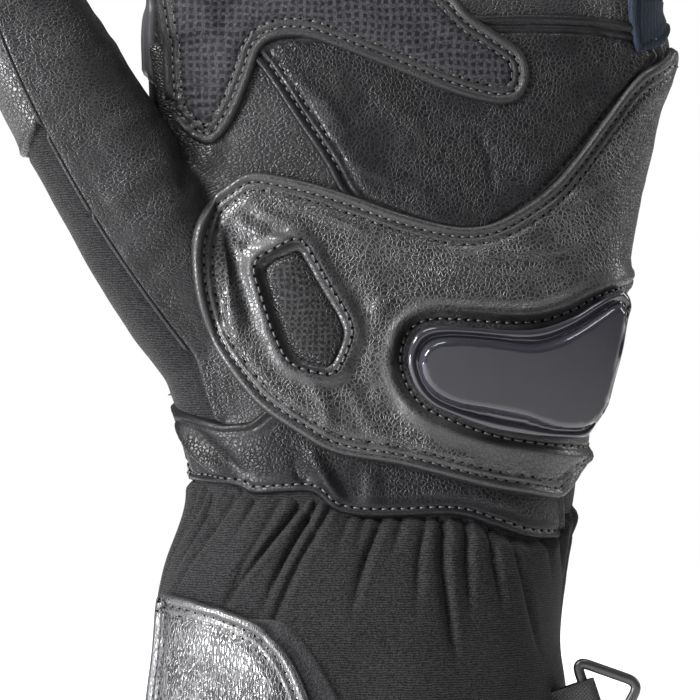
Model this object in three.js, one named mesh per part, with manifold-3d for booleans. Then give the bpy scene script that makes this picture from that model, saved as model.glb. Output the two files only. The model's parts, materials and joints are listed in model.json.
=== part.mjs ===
// Insulated left-hand snow glove with a gauntlet cuff, as an assembly of its real pieces.
// Millimetres. The glove stands on its cuff hem with the fingers up (+Z), the palm faces -Y,
// the little finger is on +X and the thumb on -X. Design coordinates start at the middle of
// the hem under the middle finger; the whole glove is moved at the end so that the origin is
// the centre of its footprint.
import * as THREE from 'three';
import { mergeVertices } from 'three/addons/utils/BufferGeometryUtils.js';
import Module from 'manifold-3d';

const wasm = await Module();
wasm.setup();

// ---------------------------------------------------------------- driving dimensions
const GAP = 0.3;                 // clearance between pieces that lie against each other
const SHELL = 1.4;               // outer shell, leather or softshell fabric
const PADDING = 2.5;             // insulation under the shell
const LINING = 1.2;              // fleece lining
const PANEL = 1.1;               // leather panel sewn onto the shell
const DIGIT_ROOM = -4.2;         // inside of the digits, from their outer surface

const SECTION_POWER = 2.4;       // squareness of the hand and cuff sections, 2 is an ellipse
const SIDE_SEAM_Y = 4;           // where the palm leather meets the softshell back
const HAND_SIDES = 20;
const DIGIT_SIDES = 12;

const WRIST_Z = 79;              // height of the wrist's bending line
const WRIST_RANGE = 20;          // degrees each way
const CUFF_HEM = 3;              // thickness of the hem binding's floor
const HEM_HEIGHT = 10;

// Hand sections: height, left edge, right edge, palm face, back face.
const HAND = [
  [70, -50.2, 38.4, -32.5, 32.5],
  [87, -46.0, 41.0, -28.5, 28.5],
  [95, -43.8, 43.0, -27.0, 27.0],
  [118, -49.0, 49.4, -25.0, 24.0],
  [145, -52.4, 53.6, -22.0, 21.0],
  [168, -53.2, 57.6, -19.8, 18.8],
  [191, -53.6, 63.6, -17.5, 16.5],
  [205, -53.8, 60.6, -16.0, 15.5],
];

// Cuff sections, in the same order.
const CUFF = [
  [0, -62.8, 41.2, -42.0, 42.0],
  [30, -58.0, 41.0, -39.5, 39.5],
  [50, -53.8, 40.6, -37.0, 37.0],
  [88, -45.9, 41.2, -28.2, 28.2],
];

// Fingers: middle of the root, height of the web, width, length above the web,
// distance from web to middle joint, and sideways splay in degrees.
const FINGER_DEPTH = 27;
const FINGER_Y = -0.5;
const ROOT_HINGE = 11;           // root bending line above the web
const ROOT_CURL = 5;             // degrees towards the palm at rest
const KNUCKLE_CURL = 15;
const ROOT_FLEX = 70;
const KNUCKLE_FLEX = 75;
const FINGERS = [
  { name: 'index', x: -38.6, web: 208, width: 29.6, length: 76, knuckle: 42, splay: -2 },
  { name: 'middle', x: -8, web: 209, width: 29.6, length: 86, knuckle: 47, splay: 0 },
  { name: 'ring', x: 21.7, web: 208.5, width: 28.2, length: 79, knuckle: 44, splay: 2 },
  { name: 'little', x: 48.6, web: 205, width: 24.4, length: 62, knuckle: 35, splay: 5 },
];

// The thumb leaves the palm's left edge in front of the palm and leans outwards.
// Profile: distance along the thumb, half width, half depth, middle in Y.
const THUMB = {
  name: 'thumb',
  root: [-56.8, 0, 159.8],
  splay: -30.45,
  length: 62,
  hinges: [6, 35],
  curl: [0, 0],
  flex: [30, 45],
  profile: [
    [-42, 14, 14, -5],
    [-20, 16, 15.5, -9],
    [0, 15.8, 14.5, -13],
    [20, 14.9, 13.5, -15],
    [46, 13, 12, -16],
  ],
};

const OVERLAY_EDGE = [           // heel and palm reinforcement, clockwise from the thumb crotch
  [-34.8, 162.4], [-28.9, 165.2], [-8.3, 160.2], [14.6, 153.3], [24, 154.6], [33, 160.2],
  [44, 172.5], [54.8, 187], [70, 194], [70, 93.6], [37.4, 93.9], [2.6, 101.5], [-12, 104.2],
  [-27.4, 113.9], [-37, 126], [-42.4, 140], [-42.6, 152],
];
const BAND_EDGE = [              // leather band between the reinforcement and the gathered wrist
  [-50, 98], [-31, 95.6], [-16, 95.3], [-6, 90.5], [13, 90.7], [24, 87], [50, 85.4], [50, 96],
  [0, 108], [-30, 120], [-50, 120],
];
const GRIP_EDGE = [              // printed grip panel under the index finger
  [-48.4, 204], [-48.9, 189.6], [-46.6, 177], [-38.3, 171.3], [-32.8, 178.3], [-29.4, 187],
  [-24.6, 194.3], [-10, 192], [12.2, 183], [24, 180.2], [30.4, 184.4], [28, 193], [14.3, 202.6],
  [13, 204],
];
const THENAR_PAD_EDGE = [        // small printed grip pad at the thumb's base
  [-19.4, 149.4], [-27.8, 144.6], [-24.1, 131.1], [-20.4, 123.8], [-12, 121.6], [-8.6, 130.2],
];
const SIDE_EDGE = [              // knitted side panel at the little finger's root
  [52.6, 204], [53.4, 190.6], [70, 197], [70, 204],
];
const SLIDER_EDGE = [            // hard slider on the heel of the hand
  [4.1, 123.5], [8.7, 131.3], [25.4, 130.7], [37, 132.2], [49.8, 138.9], [52.9, 136.5],
  [51.5, 126.5], [48, 114.1], [43.3, 107.8], [29.3, 108.3], [13.7, 112.6], [6.1, 118],
];
const SLIDER_HEIGHT = 4.6;
const BEZEL_WIDTH = 3.4;
const BEZEL_HEIGHT = 1.9;
const KNUCKLE_PAD_EDGE = [       // padded guard over the knuckles, on the back of the hand
  [-46, 181], [-46, 197], [-38, 202.5], [50, 202.5], [57, 196], [55, 182], [30, 175], [-30, 175],
];
const KNUCKLE_PAD_HEIGHT = 4;

const FLAP_EDGE = [              // cuff closure flap, sewn along its left edge
  [-47.8, 72.4], [-28, 68.6], [-19, 58], [-13.6, 44], [-15, 30], [-24, 18], [-54.5, 13.5],
];
const HOOK_EDGE = [
  [-38, 63], [-29, 62], [-23, 54], [-18.5, 44], [-20, 31], [-27, 23], [-40, 21],
];
const LOOP_EDGE = [              // loop patch that the flap's hooks hold on
  [-40, 68.5], [-22, 68], [-9.8, 50], [-3, 36], [-6, 22], [-16, 14], [-42, 13.5],
];
const FLAP_RANGE = 100;

// Triangular ring in a webbing loop on the little-finger side of the cuff.
const RING_Y = -16;
const RING_TOP = [41, 58.6];
const RING_OUT = [55.2, 53.6];
const RING_LOW = [47.4, 39.6];
const RING_BAR = 1.15;           // bar radius
const BAR_SIDES = 6;
const WEBBING_WIDTH = 10.5;
const WEBBING = 1.1;             // webbing thickness
const WEBBING_LENGTH = 9;        // from the bar into the cuff's side seam

// ---------------------------------------------------------------- solids
const REACH = 400;               // longer than anything it cuts

function toSolid(geometry) {
  const bare = geometry.clone();
  bare.deleteAttribute('normal');
  bare.deleteAttribute('uv');
  const merged = mergeVertices(bare, 1e-5);
  const mesh = new wasm.Mesh({
    numProp: 3,
    vertProperties: new Float32Array(merged.attributes.position.array),
    triVerts: new Uint32Array(merged.index.array),
  });
  return new wasm.Manifold(mesh);
}

function toMesh(name, solid, colour, roughness) {
  const result = solid.getMesh();
  const geometry = new THREE.BufferGeometry();
  geometry.setAttribute('position', new THREE.BufferAttribute(result.vertProperties, 3));
  geometry.setIndex(new THREE.BufferAttribute(result.triVerts, 1));
  geometry.computeVertexNormals();
  const material = new THREE.MeshStandardMaterial({ color: colour, roughness, metalness: 0 });
  const mesh = new THREE.Mesh(geometry, material);
  mesh.name = name;
  return mesh;
}

// Closed solid through rings of points that all turn the same way.
function loft(rings) {
  const sides = rings[0].length;
  const points = rings.flat();
  const faces = [];
  for (let r = 0; r + 1 < rings.length; r++) {
    for (let k = 0; k < sides; k++) {
      const a = r * sides + k;
      const b = r * sides + (k + 1) % sides;
      faces.push(a, b, b + sides, a, b + sides, a + sides);
    }
  }
  const last = (rings.length - 1) * sides;
  for (let k = 1; k + 1 < sides; k++) {
    faces.push(0, k + 1, k);
    faces.push(last, last + k, last + k + 1);
  }
  const geometry = new THREE.BufferGeometry().setFromPoints(points);
  geometry.setIndex(faces);
  return toSolid(geometry);
}

function roundedRing(sides, halfX, halfY, power) {
  const ring = [];
  for (let k = 0; k < sides; k++) {
    const angle = (k / sides) * Math.PI * 2;
    const c = Math.cos(angle);
    const s = Math.sin(angle);
    const x = halfX * Math.sign(c) * Math.abs(c) ** (2 / power);
    const y = halfY * Math.sign(s) * Math.abs(s) ** (2 / power);
    ring.push(new THREE.Vector3(x, y, 0));
  }
  return ring;
}

// Tube through a table of sections, grown or shrunk by an offset on its sides and its top.
function stackedTube(sections, offset) {
  const last = sections.length - 1;
  const rings = sections.map(([height, left, right, front, back], k) => {
    const z = k === last ? height + offset : height;
    const centre = new THREE.Vector3((left + right) / 2, (front + back) / 2, z);
    const halfX = (right - left) / 2 + offset;
    const halfY = (back - front) / 2 + offset;
    return roundedRing(HAND_SIDES, halfX, halfY, SECTION_POWER).map((p) => p.add(centre));
  });
  return loft(rings);
}

function prism(outline, from, to) {
  const shape = new THREE.Shape(outline.map(([x, z]) => new THREE.Vector2(x, z)));
  const geometry = new THREE.ExtrudeGeometry(shape, { depth: to - from, bevelEnabled: false });
  geometry.rotateX(Math.PI / 2);
  geometry.translate(0, to, 0);
  return toSolid(geometry);
}

function slab(low, high) {
  const geometry = new THREE.BoxGeometry(REACH, REACH, high - low);
  geometry.translate(0, 0, (low + high) / 2);
  return toSolid(geometry);
}

// Space on one side of a bending line: a wedge is left open towards the palm and the back,
// so that the two pieces meet face to face at the ends of the range.
function besideHinge(place, upper, palmAngle, backAngle) {
  const side = upper ? 1 : -1;
  const rise = (angle) => side * (REACH / 2 * Math.tan(THREE.MathUtils.degToRad(angle)) + GAP);
  const outline = [
    new THREE.Vector2(-REACH / 2, rise(palmAngle)),
    new THREE.Vector2(0, side * GAP),
    new THREE.Vector2(REACH / 2, rise(backAngle)),
    new THREE.Vector2(REACH / 2, side * REACH),
    new THREE.Vector2(-REACH / 2, side * REACH),
  ];
  const shape = new THREE.Shape(outline);
  const geometry = new THREE.ExtrudeGeometry(shape, { depth: REACH, bevelEnabled: false });
  geometry.translate(0, 0, -REACH / 2);
  const turn = new THREE.Matrix4().makeBasis(
    new THREE.Vector3(0, 1, 0), new THREE.Vector3(0, 0, 1), new THREE.Vector3(1, 0, 0));
  geometry.applyMatrix4(turn);
  geometry.applyMatrix4(place);
  return toSolid(geometry);
}

// ---------------------------------------------------------------- digits
function fingerSpec(finger) {
  const half = finger.width / 2;
  const depth = FINGER_DEPTH / 2 * (0.75 + 0.25 * finger.width / 29.6);
  return {
    name: finger.name,
    root: [finger.x, FINGER_Y, finger.web],
    splay: finger.splay,
    length: finger.length,
    hinges: [ROOT_HINGE, finger.knuckle],
    curl: [ROOT_CURL, KNUCKLE_CURL],
    flex: [ROOT_FLEX, KNUCKLE_FLEX],
    profile: [
      [-12, half, depth, 0],
      [ROOT_HINGE, half, depth, 0],
      [finger.knuckle, half * 0.96, depth * 0.97, 0],
      [finger.length - half * 0.95, half * 0.88, depth * 0.86, 0],
    ],
  };
}

// The digit's middle line in its own frame: straight pieces that turn at the two hinges.
function middleLine(digit, distance) {
  const [first, second] = digit.hinges;
  const [curl1, curl2] = digit.curl.map(THREE.MathUtils.degToRad);
  const stretches = [[first, 0], [second - first, curl1], [Infinity, curl1 + curl2]];
  let y = 0;
  let z = Math.min(distance, 0);
  let left = Math.max(distance, 0);
  let pitch = 0;
  for (const [length, angle] of stretches) {
    const step = Math.min(left, length);
    y -= step * Math.sin(angle);
    z += step * Math.cos(angle);
    if (left < length) {
      pitch = angle;
      break;
    }
    left -= step;
    pitch = angle;
  }
  return { y, z, pitch };
}

function digitFrame(digit) {
  const frame = new THREE.Matrix4().makeRotationY(THREE.MathUtils.degToRad(digit.splay));
  return frame.setPosition(...digit.root);
}

function digitRing(digit, distance, halfWidth, halfDepth, middleY) {
  const { y, z, pitch } = middleLine(digit, distance);
  const place = new THREE.Matrix4().makeRotationX(pitch).setPosition(0, y + middleY, z);
  place.premultiply(digitFrame(digit));
  return roundedRing(DIGIT_SIDES, halfWidth, halfDepth, 2.2).map((p) => p.applyMatrix4(place));
}

// Whole digit from inside the palm to its domed tip, grown or shrunk by an offset.
function digitSolid(digit, offset) {
  const rings = digit.profile.map(([distance, width, depth, y]) => (
    digitRing(digit, distance, width + offset, depth + offset, y)));
  const [start, width, depth, y] = digit.profile.at(-1);
  const dome = digit.length + offset - start;
  for (const angle of [38, 70].map(THREE.MathUtils.degToRad)) {
    const shrink = Math.cos(angle);
    const distance = start + dome * Math.sin(angle);
    rings.push(digitRing(digit, distance, (width + offset) * shrink, (depth + offset) * shrink, y));
  }
  return loft(rings);
}

function hingePlace(digit, which) {
  const distance = digit.hinges[which];
  const entries = digit.profile.filter(([t]) => t <= distance);
  const { y, z } = middleLine(digit, distance);
  const middleY = entries.at(-1)[3];
  const local = new THREE.Vector3(0, y + middleY, z).applyMatrix4(digitFrame(digit));
  const before = which === 0 ? 0 : digit.curl[0];
  const pitch = THREE.MathUtils.degToRad(before + digit.curl[which] / 2);
  const place = new THREE.Matrix4().makeRotationX(pitch);
  if (digit.name === 'thumb') {
    place.premultiply(new THREE.Matrix4().makeRotationY(THREE.MathUtils.degToRad(digit.splay)));
  }
  return place.setPosition(local);
}

function hingeCut(digit, which, upper) {
  return besideHinge(hingePlace(digit, which), upper, digit.flex[which] / 2 + 1, 6);
}

const digits = [...FINGERS.map(fingerSpec), THUMB];

// ---------------------------------------------------------------- hand and cuff solids
const wristPlace = new THREE.Matrix4().setPosition(0, 0, WRIST_Z);
const wristAngle = WRIST_RANGE / 2 + 1;
const aboveWrist = besideHinge(wristPlace, true, wristAngle, wristAngle);
const belowWrist = besideHinge(wristPlace, false, wristAngle, wristAngle);

const palmSolid = (offset) => stackedTube(HAND, offset);
const cuffSolid = (offset) => stackedTube(CUFF, offset);

function handSolid(offset, trimmed) {
  let solid = palmSolid(offset);
  for (const digit of digits) {
    let root = digitSolid(digit, offset);
    if (trimmed) {
      root = root.intersect(hingeCut(digit, 0, false));
    }
    solid = solid.add(root);
  }
  return solid;
}

function handShellSolid(thickness) {
  return handSolid(0, true).subtract(handSolid(-thickness, false)).intersect(aboveWrist);
}

// An inner layer covers the palm and is open towards every digit.
function handLayer(outside, thickness) {
  let layer = palmSolid(outside).subtract(palmSolid(outside - thickness)).intersect(aboveWrist);
  for (const digit of digits) {
    layer = layer.subtract(digitSolid(digit, DIGIT_ROOM));
  }
  return layer;
}

function cuffLayer(outside, thickness) {
  const layer = cuffSolid(outside).subtract(cuffSolid(outside - thickness));
  return layer.intersect(belowWrist).intersect(slab(CUFF_HEM + GAP, REACH));
}

function digitPart(digit, which, outside, thickness) {
  let part = digitSolid(digit, outside).intersect(hingeCut(digit, which, true));
  if (which === 0) {
    part = part.intersect(hingeCut(digit, 1, false));
  }
  part = part.subtract(digitSolid(digit, outside - thickness));
  if (digit.name === 'thumb') {
    part = part.subtract(palmSolid(1));
  }
  return part;
}

// A sewn-on panel: an outline pressed onto a curved body, between two heights above it.
function panel(body, outline, low, high, back = false) {
  const cut = back ? prism(outline, 0, REACH) : prism(outline, -REACH, 0);
  return body(high).subtract(body(low)).intersect(cut);
}

function smooth(outline, divisions) {
  const points = outline.map(([x, z]) => new THREE.Vector3(x, 0, z));
  const curve = new THREE.CatmullRomCurve3(points, true, 'centripetal');
  return curve.getPoints(divisions).slice(0, -1).map((p) => [p.x, p.z]);
}

// The outline moved outwards by a distance, corner by corner.
function grow(outline, distance) {
  const count = outline.length;
  const turn = THREE.ShapeUtils.area(outline.map(([x, y]) => ({ x, y }))) > 0 ? 1 : -1;
  return outline.map(([x, z], k) => {
    const before = outline[(k + count - 1) % count];
    const after = outline[(k + 1) % count];
    const along = new THREE.Vector2(after[0] - before[0], after[1] - before[1]).normalize();
    return [x + turn * distance * along.y, z - turn * distance * along.x];
  });
}

// ---------------------------------------------------------------- colours
const LEATHER = 0x17171a;
const SOFTSHELL = 0x1c1c20;
const GRIP = 0x232327;
const SIDE_KNIT = 0x10151e;
const PLASTIC = 0x0c0c0e;
const FLEECE = 0x2e2e33;
const WADDING = 0xd8d8d2;
const ELASTIC = 0x101012;

const glove = new THREE.Group();
const add = (name, solid, colour, roughness) => glove.add(toMesh(name, solid, colour, roughness));

// ---------------------------------------------------------------- hand
const everywhere = [[-REACH, -REACH], [REACH, -REACH], [REACH, REACH], [-REACH, REACH]];
const frontSide = prism(everywhere, -REACH, SIDE_SEAM_Y - GAP);
const backSide = prism(everywhere, SIDE_SEAM_Y, REACH);
const handShell = handShellSolid(SHELL);
add('palm_shell', handShell.intersect(frontSide), LEATHER, 0.55);
add('back_shell', handShell.intersect(backSide), SOFTSHELL, 0.85);

const elasticOut = -(SHELL + GAP);
const elasticBand = slab(90, 99);
const elasticRoom = slab(90 - GAP, 99 + GAP);
const elastic = palmSolid(elasticOut).subtract(palmSolid(elasticOut - 1)).intersect(elasticBand);
add('wrist_elastic', elastic, ELASTIC, 0.8);

const wadding = handLayer(elasticOut, PADDING);
const room = palmSolid(0).subtract(palmSolid(elasticOut - 1 - GAP)).intersect(elasticRoom);
add('hand_insulation', wadding.subtract(room), WADDING, 0.95);
add('hand_lining', handLayer(elasticOut - PADDING - GAP, LINING), FLEECE, 0.95);

const overlayLow = GAP;
const overlayHigh = GAP + PANEL;
const overlayOutline = smooth(OVERLAY_EDGE, 30);
const handOnly = handSolid(GAP, true);
const overlay = panel(palmSolid, overlayOutline, overlayLow, overlayHigh)
  .subtract(prism(grow(THENAR_PAD_EDGE, GAP), -REACH, 0))
  .subtract(handOnly);
add('palm_overlay', overlay, LEATHER, 0.5);
const band = panel(palmSolid, BAND_EDGE, overlayLow, overlayHigh)
  .intersect(aboveWrist)
  .subtract(prism(grow(overlayOutline, GAP), -REACH, REACH))
  .subtract(handOnly);
add('wrist_band', band, LEATHER, 0.5);
const gripPanel = panel(palmSolid, smooth(GRIP_EDGE, 22), overlayLow, overlayHigh).subtract(handOnly);
add('grip_panel', gripPanel, GRIP, 0.7);
const sidePanel = panel(palmSolid, SIDE_EDGE, overlayLow, overlayHigh - 0.3)
  .subtract(prism(grow(overlayOutline, GAP), -REACH, REACH))
  .subtract(handOnly);
add('side_panel', sidePanel, SIDE_KNIT, 0.9);
add('thenar_pad', panel(palmSolid, THENAR_PAD_EDGE, overlayLow, overlayHigh - 0.2), GRIP, 0.7);

const sliderOutline = smooth(SLIDER_EDGE, 22);
const plateLow = overlayHigh + GAP;
const bezel = panel(palmSolid, grow(sliderOutline, BEZEL_WIDTH), plateLow, plateLow + BEZEL_HEIGHT)
  .subtract(prism(grow(sliderOutline, GAP), -REACH, REACH));
add('slider_bezel', bezel, LEATHER, 0.5);
add('palm_slider', panel(palmSolid, sliderOutline, plateLow, plateLow + SLIDER_HEIGHT), PLASTIC, 0.15);
const knucklePad = panel(palmSolid, KNUCKLE_PAD_EDGE, GAP, KNUCKLE_PAD_HEIGHT, true).subtract(handOnly);
add('knuckle_pad', knucklePad, LEATHER, 0.5);

// ---------------------------------------------------------------- digits
for (const digit of digits) {
  ['base', 'tip'].forEach((place, which) => {
    add(`${digit.name}_${place}`, digitPart(digit, which, 0, SHELL), LEATHER, 0.55);
    add(`${digit.name}_${place}_lining`, digitPart(digit, which, elasticOut, PADDING), FLEECE, 0.95);
  });
}

// ---------------------------------------------------------------- cuff
add('cuff_shell', cuffLayer(0, SHELL), SOFTSHELL, 0.85);
add('cuff_insulation', cuffLayer(elasticOut, PADDING), WADDING, 0.95);
const cuffLiningOut = elasticOut - PADDING - GAP;
add('cuff_lining', cuffLayer(cuffLiningOut, LINING), FLEECE, 0.95);
const hem = cuffSolid(GAP + PANEL)
  .subtract(cuffSolid(cuffLiningOut - LINING))
  .intersect(slab(0, HEM_HEIGHT));
const hemRoom = cuffSolid(GAP).intersect(slab(CUFF_HEM, REACH));
add('hem_binding', hem.subtract(hemRoom), SOFTSHELL, 0.8);

const loopTop = GAP + 1.2;
const hookTop = loopTop + GAP + 1;
const flapLow = hookTop + GAP;
const flapHigh = flapLow + 1.6;
add('loop_patch', panel(cuffSolid, LOOP_EDGE, GAP, loopTop), GRIP, 0.95);
add('flap_hook_pad', panel(cuffSolid, HOOK_EDGE, loopTop + GAP, hookTop), ELASTIC, 0.9);
add('closure_flap', panel(cuffSolid, FLAP_EDGE, flapLow, flapHigh), LEATHER, 0.4);

// ---------------------------------------------------------------- ring on its webbing loop
function ringSolid() {
  const corners = [RING_TOP, RING_OUT, RING_LOW].map(([x, z]) => new THREE.Vector3(x, RING_Y, z));
  const route = new THREE.CurvePath();
  const round = 0.18;
  const joined = corners.map((corner, k) => {
    const before = corners[(k + 2) % 3];
    const after = corners[(k + 1) % 3];
    return [corner.clone().lerp(before, round), corner, corner.clone().lerp(after, round)];
  });
  joined.forEach(([from, corner, to], k) => {
    route.add(new THREE.QuadraticBezierCurve3(from, corner, to));
    route.add(new THREE.LineCurve3(to, joined[(k + 1) % 3][0]));
  });
  const points = route.getSpacedPoints(30).slice(0, -1);
  const rings = points.map((point, k) => {
    const before = points[(k + points.length - 1) % points.length];
    const after = points[(k + 1) % points.length];
    const along = after.clone().sub(before).normalize();
    const across = new THREE.Vector3(0, 1, 0);
    const outwards = new THREE.Vector3().crossVectors(across, along).normalize();
    const ring = [];
    for (let s = 0; s < BAR_SIDES; s++) {
      const angle = (s / BAR_SIDES) * Math.PI * 2;
      ring.push(point.clone()
        .addScaledVector(outwards, RING_BAR * Math.cos(angle))
        .addScaledVector(across, RING_BAR * Math.sin(angle)));
    }
    return ring;
  });
  const faces = [];
  const count = rings.length;
  for (let r = 0; r < count; r++) {
    for (let k = 0; k < BAR_SIDES; k++) {
      const a = r * BAR_SIDES + k;
      const b = r * BAR_SIDES + (k + 1) % BAR_SIDES;
      const c = ((r + 1) % count) * BAR_SIDES + (k + 1) % BAR_SIDES;
      const d = ((r + 1) % count) * BAR_SIDES + k;
      faces.push(a, b, c, a, c, d);
    }
  }
  const geometry = new THREE.BufferGeometry().setFromPoints(rings.flat());
  geometry.setIndex(faces);
  return toSolid(geometry);
}

// Webbing folded round the ring's left bar; its two ends run into the cuff's side seam.
function webbingSolid() {
  const inner = RING_BAR + GAP;
  const outer = inner + WEBBING;
  const shape = new THREE.Shape();
  shape.moveTo(-WEBBING_LENGTH, -outer);
  shape.lineTo(0, -outer);
  shape.absarc(0, 0, outer, -Math.PI / 2, Math.PI / 2, false);
  shape.lineTo(-WEBBING_LENGTH, outer);
  shape.lineTo(-WEBBING_LENGTH, inner);
  shape.lineTo(0, inner);
  shape.absarc(0, 0, inner, Math.PI / 2, -Math.PI / 2, true);
  shape.lineTo(-WEBBING_LENGTH, -inner);
  const geometry = new THREE.ExtrudeGeometry(shape, {
    depth: WEBBING_WIDTH, bevelEnabled: false, curveSegments: 6,
  });
  geometry.translate(0, 0, -WEBBING_WIDTH / 2);
  const top = new THREE.Vector3(RING_TOP[0], RING_Y, RING_TOP[1]);
  const low = new THREE.Vector3(RING_LOW[0], RING_Y, RING_LOW[1]);
  const along = low.clone().sub(top).normalize();
  const across = new THREE.Vector3(0, 1, 0);
  const outwards = new THREE.Vector3().crossVectors(across, along);
  if (outwards.x < 0) {
    outwards.negate();
    along.negate();
  }
  const place = new THREE.Matrix4().makeBasis(outwards, across, along.clone());
  place.setPosition(top.clone().lerp(low, 0.5));
  geometry.applyMatrix4(place);
  return toSolid(geometry).subtract(cuffSolid(GAP));
}

add('clip_ring', ringSolid(), PLASTIC, 0.35);
add('ring_webbing', webbingSolid(), ELASTIC, 0.9);

// ---------------------------------------------------------------- origin
const box = new THREE.Box3().setFromObject(glove);
const centre = box.getCenter(new THREE.Vector3());
glove.position.set(-centre.x, -centre.y, -box.min.z);

export default glove;
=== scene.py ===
import json
import math

import bmesh
import bpy
import numpy as np
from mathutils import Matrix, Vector
from mathutils.bvhtree import BVHTree
from mathutils.geometry import delaunay_2d_cdt


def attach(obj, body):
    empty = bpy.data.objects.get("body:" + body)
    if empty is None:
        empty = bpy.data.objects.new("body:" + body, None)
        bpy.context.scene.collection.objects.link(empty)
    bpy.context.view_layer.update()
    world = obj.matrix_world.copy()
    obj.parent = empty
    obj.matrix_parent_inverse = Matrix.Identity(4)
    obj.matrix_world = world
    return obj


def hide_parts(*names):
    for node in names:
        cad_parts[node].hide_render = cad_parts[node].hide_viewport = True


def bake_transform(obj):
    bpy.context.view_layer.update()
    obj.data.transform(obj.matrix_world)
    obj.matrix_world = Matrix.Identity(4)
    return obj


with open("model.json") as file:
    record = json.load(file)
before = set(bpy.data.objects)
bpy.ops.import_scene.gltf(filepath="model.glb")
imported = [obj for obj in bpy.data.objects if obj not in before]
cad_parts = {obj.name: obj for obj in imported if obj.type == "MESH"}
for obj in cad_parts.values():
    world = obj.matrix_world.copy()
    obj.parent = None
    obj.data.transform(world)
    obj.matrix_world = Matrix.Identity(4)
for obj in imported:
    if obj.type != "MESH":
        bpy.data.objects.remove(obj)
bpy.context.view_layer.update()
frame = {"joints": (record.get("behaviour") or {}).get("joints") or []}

# Everything is modelled in millimetres, in glove coordinates: X to the little finger, Y to the back
# of the hand, Z up from the hem, with X = Y = 0 at the wrist's bending line. to_frame() takes them
# into the frame, in metres.
JOINTS = {joint["name"]: joint for joint in frame["joints"]}
WRIST = JOINTS["wrist_bend"]["pos_m"]
ORIGIN = np.array([WRIST[0], WRIST[1], 0.0])
MM = 0.001


def to_frame(points):
    return np.asarray(points, float) * MM + ORIGIN


# ------------------------------------------------------------------ dimensions
SIDE_SEAM = 4.0          # Y of the seam between palm leather and softshell back
SECTION_POWER = 2.4
# Sections of hand and cuff: height, left, right, palm side, back.
SECTIONS = np.array([
    [0, -62.8, 41.2, -42.0, 42.0],
    [30, -58.0, 41.0, -39.5, 39.5],
    [50, -53.4, 40.2, -37.0, 37.0],
    [65, -50.8, 38.2, -34.0, 34.0],
    [80, -47.2, 38.4, -30.5, 30.5],
    [95, -42.8, 41.6, -27.0, 27.0],
    [106, -44.6, 42.6, -26.5, 26.0],
    [118, -48.4, 47.4, -25.0, 24.5],
    [129, -50.4, 49.6, -23.6, 22.5],
    [140, -51.6, 51.2, -22.4, 21.5],
    [161, -52.4, 54.8, -20.5, 19.5],
    [181, -53.0, 59.4, -18.6, 17.5],
    [191, -53.4, 62.8, -17.6, 16.8],
    [198, -53.5, 61.6, -17.0, 16.4],
    [203, -52.6, 58.8, -16.2, 15.8],
    [207, -48.0, 54.0, -13.0, 13.0],
    [209, -40.0, 46.0, -8.0, 8.0],
], float)

FINGER_Y = -0.5
ROOT_HINGE = 11.0
CURLS = (5.0, 15.0)
# name, middle X, web height, width, depth, length, knuckle, splay in degrees
FINGERS = (
    ("index", -38.6, 208.0, 28.4, 26.6, 76.0, 42.0, -2.0),
    ("middle", -8.0, 209.0, 28.4, 26.6, 86.0, 47.0, 0.0),
    ("ring", 21.7, 208.5, 27.0, 26.2, 79.0, 44.0, 2.0),
    ("little", 48.6, 205.0, 23.4, 25.4, 62.0, 35.0, 5.0),
)
THUMB_ROOT = np.array([-56.8, 0.0, 159.8])
THUMB_SPLAY = -30.45
THUMB_HINGES = (6.0, 35.0)
THUMB_PROFILE = (
    (-46, 12.5, 14.0, -4.5), (-20, 15.4, 15.4, -8.5), (0, 15.2, 14.4, -12.6),
    (20, 14.4, 13.4, -15.0), (35, 13.8, 13.0, -15.6), (47, 12.8, 11.8, -16.0),
)
THUMB_LENGTH = 62.0

LINING_DEPTH = 5.5       # how far the hand's lining lies under its skin
HAND_FROM = 90.5         # the hand's own pieces start at this height, above the cuff's elastic
LEATHER_FROM = 99.0      # and its leather at this one
CUFF_TOP = 99.0
STITCH_ROWS = (2.2, 3.9)  # distances of a double seam's two rows from the panel's edge
NEEDLE_HOLE = (0.34, 0.42)


# ------------------------------------------------------------------ small maths
def hermite(x, xs, ys):
    """Smooth curve through (xs, ys)."""
    slope = np.gradient(ys, xs)
    k = np.clip(np.searchsorted(xs, x) - 1, 0, len(xs) - 2)
    span = xs[k + 1] - xs[k]
    t = np.clip((x - xs[k]) / span, 0, 1)
    a = 2 * t**3 - 3 * t**2 + 1
    b = t**3 - 2 * t**2 + t
    c = -2 * t**3 + 3 * t**2
    d = t**3 - t**2
    return a * ys[k] + b * span * slope[k] + c * ys[k + 1] + d * span * slope[k + 1]


def section(z):
    z = np.asarray(z, float)
    return [hermite(z, SECTIONS[:, 0], SECTIONS[:, column]) for column in range(1, 5)]


def squareness(z):
    """The heel of the hand is squarer in section than the rest."""
    return SECTION_POWER + 1.1 * math.exp(-((z - 127) / 24) ** 2)


def smoothstep(low, high, x):
    t = np.clip((x - low) / (high - low), 0, 1)
    return t * t * (3 - 2 * t)


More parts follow.
